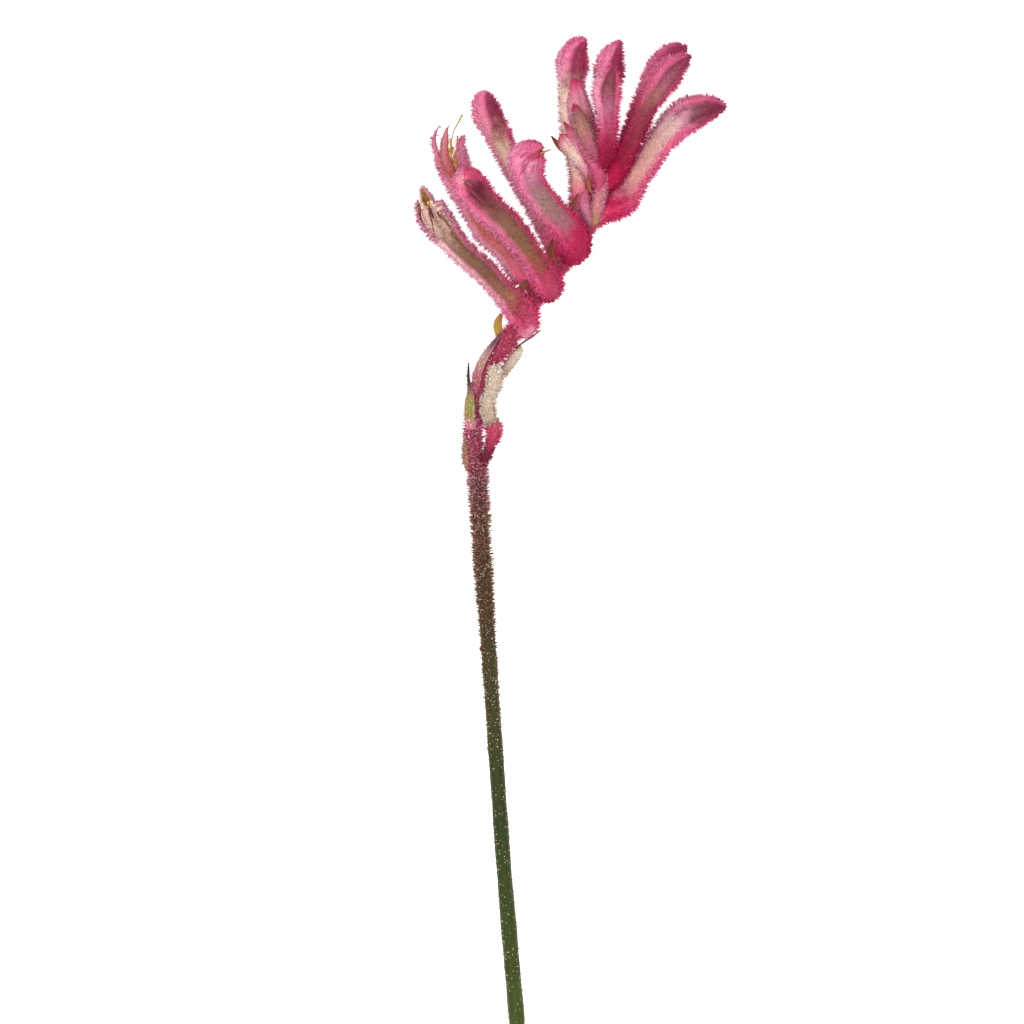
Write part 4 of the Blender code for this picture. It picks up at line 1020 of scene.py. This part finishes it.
def plainPlantMaterial(name, darkHex, lightHex, grainMm, roughness):
    # a thin organ such as a style or an anther: one colour with a fine darker grain
    material, tree, shader = newMaterial(name, {"Roughness": roughness, "Specular IOR Level": 0.4})
    place = addNode(tree, "ShaderNodeTexCoord")
    grain = addNode(tree, "ShaderNodeTexNoise", {
        "Vector": place.outputs["Object"], "Scale": 1 / (grainMm * mm), "Detail": 3.0})
    body = addNode(tree, "ShaderNodeValToRGB", {"Fac": grain.outputs["Fac"]})
    setStops(body, [(noiseBand["From Min"], darkHex), (noiseBand["From Max"], lightHex)])
    tree.links.new(body.outputs["Color"], shader.inputs["Base Color"])
    return material


# what each kind of organ is made of: dark and light colour, grain in mm, and roughness
organMaterials = {kind: plainPlantMaterial(*look) for kind, look in {
    "lining": ("tepal_lining", "94641A", "CDA24C", 0.8, 0.55),
    "style": ("style_rod", "7E6A20", "A88E3A", 0.6, 0.55),
    "pollen": ("anther_pollen", "D08A2C", "F2C069", 0.25, 0.8),
    "curl": ("rolled_tepal_edge", "CC9C94", "F0D4C8", 0.3, 0.8),
    "rim": ("folded_tepal_edge", "A8707C", "CC9498", 0.4, 0.8),
    "throat": ("shaded_throat", "4A1A1C", "7A3426", 0.6, 0.8),
    # the ochre lining in an open seam, darkened as painted shade
    "openSeamShade": ("open_seam_shade", "6A4228", "8A6238", 0.5, 0.8),
    "fold": ("shaded_fold", "6E2438", "8A3048", 0.5, 0.9),
    # painted shade in the valleys of the cap's folds
    "fanShade": ("cap_fold_shade", "A4406C", "B8507C", 0.5, 0.9),
}.items()}
furryOrgans = {"curl": [(0, "E8C8BC"), (1, "ECD0C8")], "rim": [(0, "C8889C"), (1, "D090A4")]}
organFur = 0.5                # how long its hairs are, as a share of those on a tepal
wallStrip = {
    "overlap": 0.6,           # mm that a strip reaches below the split
    "rimGap": 0.4,            # mm from its last station to the rim
    "widths": (1.0, 0.98, 0.93),
    "flatness": 0.866,        # a side of a hexagon lies nearer to the middle than its corners
    "inset": 0.12,
}


def makeTepals(name, flower, line, radii, length, seed):
    # the split end of an open flower: six strips of its wall that go on as free tepals
    split = splitFlowers[name]
    reach = split["depth"] + wallStrip["overlap"]
    places = np.linspace(0.0, length, len(line))
    skin = newSkin()
    for turn, tip, facing, narrow, *cup in split["tepals"]:
        turn = np.radians([turn])
        spokes, _ = tubeSpokes(line, radii, turn)
        stations = []
        for back, width in zip((reach, 0.5 * split["depth"], wallStrip["rimGap"]), wallStrip["widths"]):
            row = int(np.abs(places - (length - back)).argmin())
            spot = line[row] + spokes[row, 0] * (wallStrip["flatness"] * radii[row] - wallStrip["inset"])
            width = width * (1.0 + (narrow - 1.0) * (1.0 - back / reach))
            stations.append((*spot, 0.5 * radii[row] * width))
        blade(skin, stations + tip, facing, (0, 1), *cup, startFacing=spokes[-1, 0],
              crown=crownOf(turn, flower["tilt"][1])[0, 0])
    outer = feltSkinMaterial(name + "_tepal_skin", split["outer"], flower["crease"], split["edges"])
    held = finishPiece(name + "_tepals", skin, [outer, organMaterials["lining"]], "flower_felt")
    growCoat(held, "tepal", seed + seeds["tepals"], split["outer"], split["edges"])


def makeFlower(name, flower, seed):
    form = flowerForm
    rows = fineness["tubeRows"]
    stations, length = smoothLine(flower["line"], rows)
    line, radii = stations[:, :3], stations[:, 3]
    places = np.linspace(0.0, length, rows)
    whole = line, radii
    if name in splitFlowers:
        kept = places <= length - splitFlowers[name]["depth"]
        line, radii, places = line[kept], radii[kept], places[kept]
    share = places / length
    tilt = np.interp(share, flower.get("openTurn", form["openTurn"]), flower["tilt"])
    known = {}

    def shape(turn):
        groove, growth = seams(turn, flower["roll"], share, flower["tilt"][1])
        crown = crownOf(turn, tilt)
        # painted shade on the side away from the key light, weaker on the face
        far = np.clip(2.0 * (np.sin(turn) - form["farStart"]), 0.0, 1.0)[None, :]
        known.update(crease=groove, crown=crown, far=(1.0 - (1.0 - form["farShare"]) * crown) * far)
        rounding = -np.cos(360.0 / form["seamSpacing"] * (turn - math.radians(flower["roll"])))
        rounding = rounding[None, :] * growth[:, None]
        lumps = sum(wave(turn, share, depth, around, ahead, times * seed)
                    for depth, around, ahead, times in form["lumps"])
        return 1.0 + form["ridgeDepth"] * rounding - form["grooveDepth"] * groove + lumps

    grid, tangents = tubeGrid(line, radii, fineness["tubeSides"], shape)
    skin = newSkin()
    index = addGrid(skin, grid, share[:, None], heading=tangents, **known)
    if name in splitFlowers:
        addFan(skin, index[0], line[0], 0.0, 0.0, tangents[0])
        # the throat, seen through the slits
        rim, inward = line[-1], -tangents[-1]
        rings = np.stack([rim + (grid[-1] - rim) * part + inward * down for down, part in form["throat"]])
        inner = addPoints(skin, rings.reshape(-1, 3), 1.0, 0.0, tangents[-1])
        stack = np.vstack([index[-1:], inner.reshape(len(rings), -1)])
        joinRings(skin, stack, 1)
        addFan(skin, stack[-1], rim + inward * form["throatDepth"], 1.0, 0.0, tangents[-1], 1, False)
    else:
        closeTube(skin, index, line, tangents, form["capReach"] * radii[-1], 1.0)
    materials = [feltSkinMaterial(name + "_skin", flower["skin"], flower["crease"], flower["flank"]),
                 organMaterials["lining"]]
    piece = finishPiece(name + "_skin", skin, materials, "flower_felt", [name])
    growCoat(piece, "flower", seed, flower["skin"], flower["flank"], longer=flower.get("fur", 1.0))
    if name in splitFlowers:
        makeTepals(name, flower, *whole, length, seed)
    for number, (points, thick, kind) in enumerate(organs.get(name, [])):
        thing = newSkin()
        rod(thing, points, thick, rows=18, furry=kind in furryOrgans)
        held = finishPiece(f"{name}_{kind}_{number}", thing, [organMaterials[kind]], "flower_felt")
        if kind in furryOrgans:
            growCoat(held, "tepal", seed + seeds["organs"] + number, furryOrgans[kind], longer=organFur)


# buds, at the growing tip

buds = {
    "bud_1": {
        "line": [(20.8, 247.5, 13.2, 0.9), (20.0, 250.9, 13.2, 1.4), (18.5, 255.3, 13.6, 2.3),
            (16.4, 259.7, 14.2, 2.8), (15.3, 263.4, 14.6, 2.8), (15.0, 266.0, 14.8, 2.35),
            (14.6, 268.1, 14.9, 1.7), (14.2, 269.6, 15.0, 1.1), (14.0, 270.7, 15.0, 0.3)],
        "roll": 10,
        "skin": [(0, "A01040"), (0.3, "C03064"), (0.5, "CC6C84"), (0.7, "DC98A4"), (0.88, "D47490"),
            (0.95, "CC4878"), (1, "B83058")]},
    "bud_2": {
        "line": [(21.6, 247.0, 15.4, 0.7), (20.5, 249.3, 17.2, 0.97), (19.0, 251.7, 18.2, 1.41),
            (17.7, 254.3, 18.6, 1.85), (16.5, 257.1, 18.8, 1.94), (15.6, 259.9, 18.9, 1.67),
            (14.8, 261.8, 19.0, 1.14), (14.3, 263.1, 19.0, 0.7), (14.0, 263.8, 19.0, 0.22)],
        "roll": 25,
        "skin": [(0, "A02850"), (0.35, "B86678"), (0.55, "BC7474"), (0.7, "AC7A70"), (0.86, "986A64"),
            (0.94, "A84458"), (1, "A01840")]},
    "bud_3": {
        "line": [(19.4, 242.8, 13.6, 1.2), (17.9, 246.5, 13.8, 1.5), (15.9, 249.6, 13.8, 1.7),
            (14.2, 251.8, 13.9, 2.0), (12.5, 253.6, 14.2, 2.1), (11.2, 255.3, 14.3, 1.3),
            (10.5, 256.2, 14.3, 0.4)],
        "roll": 0,
        "skin": [(0, "C86880"), (0.35, "E8A0AC"), (0.6, "F4D8C4"), (0.85, "ECB4B0"), (1, "C83058")]},
    # young stalks wrapped round the growing tip, which have no solid
    "stalk_1": {
        "line": [(18.2, 233.0, 14.6, 1.0), (17.2, 235.6, 15.6, 1.2), (16.5, 238.2, 15.9, 1.1),
            (16.9, 240.2, 15.8, 0.9), (17.4, 241.4, 15.6, 0.3)],
        "roll": 0,
        "skin": [(0, "C8788C"), (0.5, "CC7896"), (1, "C4607C")]},
    "stalk_2": {
        "line": [(19.0, 233.0, 14.6, 1.1), (19.7, 236.1, 15.1, 1.3), (20.3, 238.7, 15.4, 1.3),
            (21.1, 241.8, 15.5, 1.2), (21.8, 244.4, 15.3, 1.0), (22.4, 246.5, 14.9, 0.5)],
        "roll": 20,
        "skin": [(0, "BC8060"), (0.3, "CC8480"), (0.7, "D0808C"), (1, "C04C6C")]},
    "stalk_3": {
        "line": [(20.6, 241.6, 15.5, 0.9), (20.6, 244.6, 16.2, 1.4), (19.7, 247.8, 16.6, 1.5),
            (18.1, 250.8, 16.7, 1.4), (16.4, 253.4, 16.7, 1.2), (15.2, 255.4, 16.6, 0.5)],
        "roll": 0,
        "skin": [(0, "C04868"), (0.5, "CC6484"), (1, "D88098")]},
}


budForm = {
    "rows": 56,
    "sides": 36,
    "grooveDepth": 0.08,
    "ripple": (0.015, 2.0, 19.0),       # depth, number round and along
    # the colour of the painted shade in the seams
    "crease": "8E2448",
    "creaseShare": 0.7,
    "tipReach": 0.5,
}


def makeBud(name, bud, seed):
    line, _ = smoothLine(bud["line"], budForm["rows"])
    share = np.linspace(0.0, 1.0, len(line))
    known = {}

    def shape(turn):
        groove, _ = seams(turn, bud["roll"], share, bud["roll"] + flowerForm["seamSpacing"] / 2)
        known["crease"] = groove * budForm["creaseShare"]
        return 1.0 - budForm["grooveDepth"] * groove + wave(turn, share, *budForm["ripple"])

    grid, tangents = tubeGrid(line[:, :3], line[:, 3], budForm["sides"], shape)
    skin = newSkin()
    index = addGrid(skin, grid, share[:, None], heading=tangents, **known)
    closeTube(skin, index, line[:, :3], tangents, budForm["tipReach"], 0.5)
    material = feltSkinMaterial(name + "_skin", bud["skin"], budForm["crease"])
    piece = finishPiece(name + "_skin", skin, [material], "bud_felt", [name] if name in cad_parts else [])
    growCoat(piece, "bud", seed, bud["skin"])


# bracts, the small leaves under flowers and buds

bracts = {
    # line holds x, y, z and half width; those with a coat are furry, in the colours of fur if they have any
    "bract_1": {
        "line": [(-12.8, 169.0, 12.6, 0.8), (-14.0, 171.0, 12.9, 1.0), (-14.3, 175.0, 13.2, 0.9),
            (-14.5, 179.4, 13.2, 0.3)],
        "facing": (-0.8, 0.0, 0.6), "slot": "bract_olive", "coat": "bract",
        "colours": [(0, "A86068"), (0.3, "90803C"), (0.7, "8A7A38"), (1, "A06058")]},
    "bract_2": {
        "line": [(-12.4, 178.2, 13.6, 1.0), (-12.9, 182.0, 15.2, 1.3), (-13.1, 186.0, 15.6, 1.35),
            (-12.9, 189.0, 15.7, 0.9), (-13.3, 192.0, 15.6, 0.45), (-13.4, 195.0, 15.4, 0.4),
            (-13.2, 197.5, 15.0, 0.15)],
        "facing": (-0.35, 0.0, 1.0), "slot": "bract_green", "coat": "bract",
        "colours": [(0, "D07088"), (0.16, "C87878"), (0.26, "7E8028"), (0.42, "7A9020"), (0.54, "947048"),
            (0.64, "6A3838"), (0.7, "2A1418"), (1, "2A1418")],
        "fur": [(0, "F098B0"), (0.2, "E8A0A8"), (0.3, "C8B070"), (0.5, "CCA888"), (0.62, "A06068"),
            (0.72, "402028"), (1, "402028")]},
    "bract_3": {
        "line": [(-11.4, 186.6, 13.6, 0.9), (-11.5, 191.6, 14.6, 1.3), (-10.1, 196.6, 15.2, 1.35),
            (-7.7, 200.7, 15.5, 1.1), (-5.9, 203.2, 15.5, 0.75), (-5.0, 204.8, 15.5, 0.3)],
        "facing": (-0.6, 0.4, 0.8), "slot": "bract_mauve", "coat": "bract",
        "colours": [(0, "A83C58"), (0.3, "9C5454"), (0.55, "A07868"), (0.7, "94706C"), (0.82, "4A3454"),
            (1, "382840")],
        "fur": [(0, "E4708C"), (0.35, "DC8C90"), (0.55, "E4B8A8"), (0.72, "D0949C"), (0.86, "74506C"),
            (1, "4A3048")]},
    "bract_4": {
        "line": [(-4.0, 203.0, 13.6, 0.7), (-5.4, 204.6, 13.4, 1.1), (-5.8, 206.8, 13.3, 1.25),
            (-5.2, 208.8, 13.2, 0.9), (-4.3, 210.2, 13.1, 0.3)],
        "facing": (-0.5, 0.2, 1.0), "slot": "bract_olive",
        "colours": [(0.05, "B08A30"), (0.45, "A07E14"), (0.95, "A06A2A")]},
    "bract_5": {
        "line": [(2.0, 212.4, 14.2, 0.6), (0.4, 214.9, 15.2, 1.0), (0.9, 217.0, 15.3, 0.85),
            (2.3, 218.8, 15.2, 0.3)],
        "facing": (-0.3, 0.2, 1.0), "slot": "bract_brown",
        "colours": [(0.05, "A8583A"), (0.45, "8A4A1A"), (0.95, "7A3414")]},
    "bract_6": {
        "line": [(9.8, 221.8, 14.2, 0.6), (7.9, 224.4, 15.2, 1.0), (7.9, 226.8, 15.4, 0.8),
            (8.6, 229.3, 15.3, 0.3)],
        "facing": (-0.3, 0.1, 1.0), "slot": "bract_brown",
        "colours": [(0.05, "A8603A"), (0.45, "884A14"), (0.95, "74300E")]},
    "bract_7": {
        "line": [(16.1, 229.6, 14.0, 0.6), (13.4, 232.8, 14.9, 0.9), (13.0, 235.8, 15.0, 1.0),
            (13.9, 238.6, 15.0, 0.7), (15.3, 241.0, 14.9, 0.3)],
        "facing": (-0.4, 0.0, 1.0), "slot": "bract_brown",
        "colours": [(0.05, "B0604A"), (0.45, "8A4A20"), (0.95, "7A3418")]},
    "bract_8": {
        "line": [(18.8, 240.8, 15.2, 0.2), (18.1, 242.0, 16.0, 0.35), (17.8, 243.8, 16.4, 0.35),
            (17.8, 246.2, 16.4, 0.15)],
        "facing": (-0.3, 0.0, 1.0), "slot": "bract_brown",
        "colours": [(0.05, "B86A4A"), (0.45, "9A5A1E"), (0.95, "843A18")]},
    "bud_2_bract": {
        "line": [(19.2, 247.4, 15.8, 0.3), (17.9, 248.8, 15.6, 0.7), (16.4, 251.2, 15.7, 1.0),
            (14.8, 254.5, 16.2, 1.5), (13.0, 257.1, 15.6, 1.25), (11.3, 259.6, 13.8, 0.4)],
        "facing": (-0.2, 0.1, 1.0), "slot": "bud_felt", "coat": "bud",
        "colours": [(0.05, "C04A6C"), (0.45, "DE88A0"), (0.95, "A81C3C")]},
    "bud_3_bract": {
        "line": [(14.3, 251.2, 13.4, 0.5), (11.6, 252.2, 12.9, 0.9), (9.8, 253.8, 12.9, 0.8),
            (8.0, 256.0, 13.2, 0.3)],
        "facing": (0.0, 0.2, 1.0), "slot": "bract_brown",
        "colours": [(0.05, "B8685A"), (0.45, "8E4A22"), (0.95, "7A2C14")]},
}


bractForm = {
    "thickness": 0.3,
    "veinPace": 26.0,         # radians from the middle to the margin, for about four veins
    "veinRelief": 0.05,
    "veinDark": 0.78,
    "veinLight": 1.12,
    "margin": "D98A80",
    "marginStart": 0.7,
    "marginShare": 0.45,
    "hairThickness": 0.9,
    "hairContrast": 1.8,
}


def bractMaterial(name, colours):
    # a papery little leaf: satin, veined along its length, with a paler, thinner margin
    material, tree, shader = newMaterial(name, {"Roughness": 0.5, "Specular IOR Level": 0.4})
    along, edge = (addNode(tree, "ShaderNodeAttribute", attribute_name=word).outputs["Fac"]
                   for word in ("along", "crease"))
    veins = addNode(tree, "ShaderNodeMath", {0: edge, 1: bractForm["veinPace"]}, operation="MULTIPLY")
    wave = addNode(tree, "ShaderNodeMath", {0: veins.outputs[0]}, operation="SINE")
    body = addNode(tree, "ShaderNodeValToRGB", {"Fac": along})
    setStops(body, colours)
    gain = addNode(tree, "ShaderNodeMapRange", {
        "Value": wave.outputs[0], "From Min": -1.0, "From Max": 1.0, "To Min": bractForm["veinDark"],
        "To Max": bractForm["veinLight"]})
    veined = addNode(tree, "ShaderNodeVectorMath", {
        0: body.outputs["Color"], "Scale": gain.outputs[0]}, operation="SCALE")
    margin = addNode(tree, "ShaderNodeMapRange", {
        "Value": edge, "From Min": bractForm["marginStart"], "From Max": 1.0, "To Min": 0.0,
        "To Max": bractForm["marginShare"]})
    final = addNode(tree, "ShaderNodeMix", {
        "Factor": margin.outputs[0], "A": veined.outputs[0], "B": linearColour(bractForm["margin"])},
        data_type="RGBA")
    tree.links.new(final.outputs["Result"], shader.inputs["Base Color"])
    bump = addNode(tree, "ShaderNodeBump", {
        "Height": wave.outputs[0], "Distance": bractForm["veinRelief"] * mm, "Strength": 0.5})
    tree.links.new(bump.outputs["Normal"], shader.inputs["Normal"])
    return material


def makeBract(name, bract, seed):
    skin = newSkin()
    blade(skin, bract["line"], bract["facing"], thickness=bractForm["thickness"])
    material = bractMaterial(name + "_leaf", bract["colours"])
    piece = finishPiece(name + "_leaf", skin, [material], bract["slot"],
                        [name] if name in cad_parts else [])
    if "coat" in bract:
        growCoat(piece, bract["coat"], seed, bract.get("fur", bract["colours"]),
                 thickness=bractForm["hairThickness"], contrast=bractForm["hairContrast"])


# withered flowers

witheredFlowers = {
    "dried_flower_1": {
        "line": [(-9.9, 169.8, 12.8, 0.9), (-8.6, 172.6, 14.9, 1.0), (-7.8, 175.2, 16.0, 1.05),
            (-7.0, 177.8, 16.6, 1.5), (-6.8, 179.9, 16.8, 1.75), (-7.4, 181.7, 16.9, 1.35),
            (-8.1, 184.1, 17.1, 1.4), (-8.2, 186.7, 17.1, 1.55), (-7.5, 188.8, 17.1, 1.25),
            (-6.6, 190.8, 17.0, 1.5), (-6.4, 193.2, 17.0, 1.5), (-6.5, 195.3, 16.9, 1.0),
            (-6.6, 196.0, 16.9, 0.4)],
        "skin": [(0, "6A2030"), (0.2, "7A2C3C"), (0.3, "C04462"), (0.4, "D05072"), (0.45, "A07464"),
            (0.5, "C2AE98"), (1, "DACCBA")]},
    "dried_flower_2": {
        "line": [(-8.8, 190.6, 12.9, 0.7), (-6.2, 191.8, 11.8, 0.8), (-4.9, 193.6, 11.8, 0.9),
            (-3.2, 195.8, 11.9, 1.05), (-1.7, 198.0, 12.1, 1.0), (-0.3, 199.9, 12.4, 0.85),
            (0.0, 200.6, 12.5, 0.4)],
        "fur": 0.7,
        "skin": [(0, "8A2A3C"), (0.3, "B07068"), (0.45, "BEA690"), (1, "D6CABA")]},
}
witheredForm = {
    "rows": 64,
    "sides": 32,
    "folds": (0.07, 5.0, 9.0),          # depth, number round and along; they grow toward the tip
    "ripple": (0.04, 3.0, -31.0),
    "crease": "8A6A50",
    "tipReach": 0.3,
    # dark feet and pale tips, as painted shade among the woolly hairs
    "hairContrast": 1.5,
}
# the dry style that is left on one of them
awn = {
    "line": [(-1.2, 200.6, 13.2), (0.9, 202.2, 13.5), (3.1, 203.6, 13.6), (5.3, 205.3, 13.5)],
    "radii": (0.35, 0.28, 0.24, 0.2),
}


def makeWithered(name, flower, seed):
    form = witheredForm
    line, _ = smoothLine(flower["line"], form["rows"])
    share = np.linspace(0.0, 1.0, len(line))

    def shape(turn):
        return 1.0 + wave(turn, share, *form["folds"]) * share[:, None] + wave(turn, share, *form["ripple"])

    grid, tangents = tubeGrid(line[:, :3], line[:, 3], form["sides"], shape)
    skin = newSkin()
    index = addGrid(skin, grid, share[:, None], 0.0, tangents)
    closeTube(skin, index, line[:, :3], tangents, form["tipReach"])
    material = feltSkinMaterial(name + "_skin", flower["skin"], form["crease"])
    piece = finishPiece(name + "_skin", skin, [material], "dried_petal", [name])
    growCoat(piece, "wool", seed, flower["skin"], longer=flower.get("fur", 1.0), contrast=form["hairContrast"])


def makeAwn():
    skin = newSkin()
    rod(skin, awn["line"], awn["radii"])
    dryStyle = plainPlantMaterial("dry_style", "3E281C", "6A4A34", 0.8, 0.55)
    finishPiece("dry_awn", skin, [dryStyle], "dried_petal")


# table, light and camera

studio = {
    "tableSize": 6.0,
    "tableColour": "C4C4C4",
    "tableGlow": 0.95,
    "worldStrength": 0.8,
    "keyPower": 10.4,
    "keySpot": (-0.28, 0.07, 1.12),
    "keySize": 1.3,
    "fillPower": 2.5,
    "fillSpot": (0.7, -0.1, 0.8),
    "fillSize": 0.9,
    "aim": (0.0, 0.05, 0.0),
    "farthest": 20.0,
}


def makeStudio():
    scene = bpy.context.scene
    bpy.ops.mesh.primitive_plane_add(size=studio["tableSize"])
    table = bpy.context.object
    table.name = "table"
    # a light table's opal sheet: matt and pale, lit from below, so that no shadow shows
    material = newMaterial("table_board", {
        "Base Color": linearColour(studio["tableColour"]), "Roughness": 0.9, "Specular IOR Level": 0.1,
        "Emission Color": (1.0, 1.0, 1.0, 1.0), "Emission Strength": studio["tableGlow"]})[0]
    table.data.materials.append(material)
    table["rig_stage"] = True

    world = scene.world or bpy.data.worlds.new("studio_room")
    scene.world = world
    world.use_nodes = True
    sky = world.node_tree.nodes["Background"]
    sky.inputs["Color"].default_value = (1.0, 1.0, 1.0, 1.0)
    sky.inputs["Strength"].default_value = studio["worldStrength"]

    for name in ("key", "fill"):
        spot = studio[name + "Spot"]
        light = bpy.data.lights.new(name + "_softbox", "AREA")
        light.energy = studio[name + "Power"]
        light.size = studio[name + "Size"]
        lamp = bpy.data.objects.new(name + "_softbox", light)
        lamp.location = spot
        lamp.rotation_euler = (Vector(studio["aim"]) - Vector(spot)).to_track_quat("-Z", "Y").to_euler()
        lamp.visible_camera = False
        scene.collection.objects.link(lamp)

    middle = picture["pixels"] / 2
    x = (middle - picture["axisPixelX"]) * picture["mmPerPixel"] + shift[0]
    y = (picture["cutPixelY"] - middle) * picture["mmPerPixel"] + shift[1]
    width = picture["pixels"] * picture["mmPerPixel"]
    camera = bpy.data.cameras.new("camera")
    camera.sensor_width = picture["sensor"]
    camera.lens = picture["sensor"] * (picture["cameraHeight"] - picture["middleHeight"]) / width
    camera.clip_end = studio["farthest"]
    holder = bpy.data.objects.new("camera", camera)
    holder.location = (x * mm, y * mm, picture["cameraHeight"] * mm)
    scene.collection.objects.link(holder)
    scene.camera = holder
    scene.view_settings.view_transform = "Standard"


makeStem()
print("stem made")
for number, (name, flower) in enumerate(flowers.items()):
    makeFlower(name, flower, seeds["flowers"] + number)
print("flowers made")
for number, (name, bud) in enumerate(buds.items()):
    makeBud(name, bud, seeds["buds"] + number)
for number, (name, flower) in enumerate(witheredFlowers.items()):
    makeWithered(name, flower, seeds["witheredFlowers"] + number)
makeAwn()
for number, (name, bract) in enumerate(bracts.items()):
    makeBract(name, bract, seeds["bracts"] + number)
print("buds, withered flowers and bracts made")
makeStudio()
triangles = sum(len(piece.data.loop_triangles) or sum(len(p.vertices) - 2 for p in piece.data.polygons)
                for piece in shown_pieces())
print("triangles", triangles)
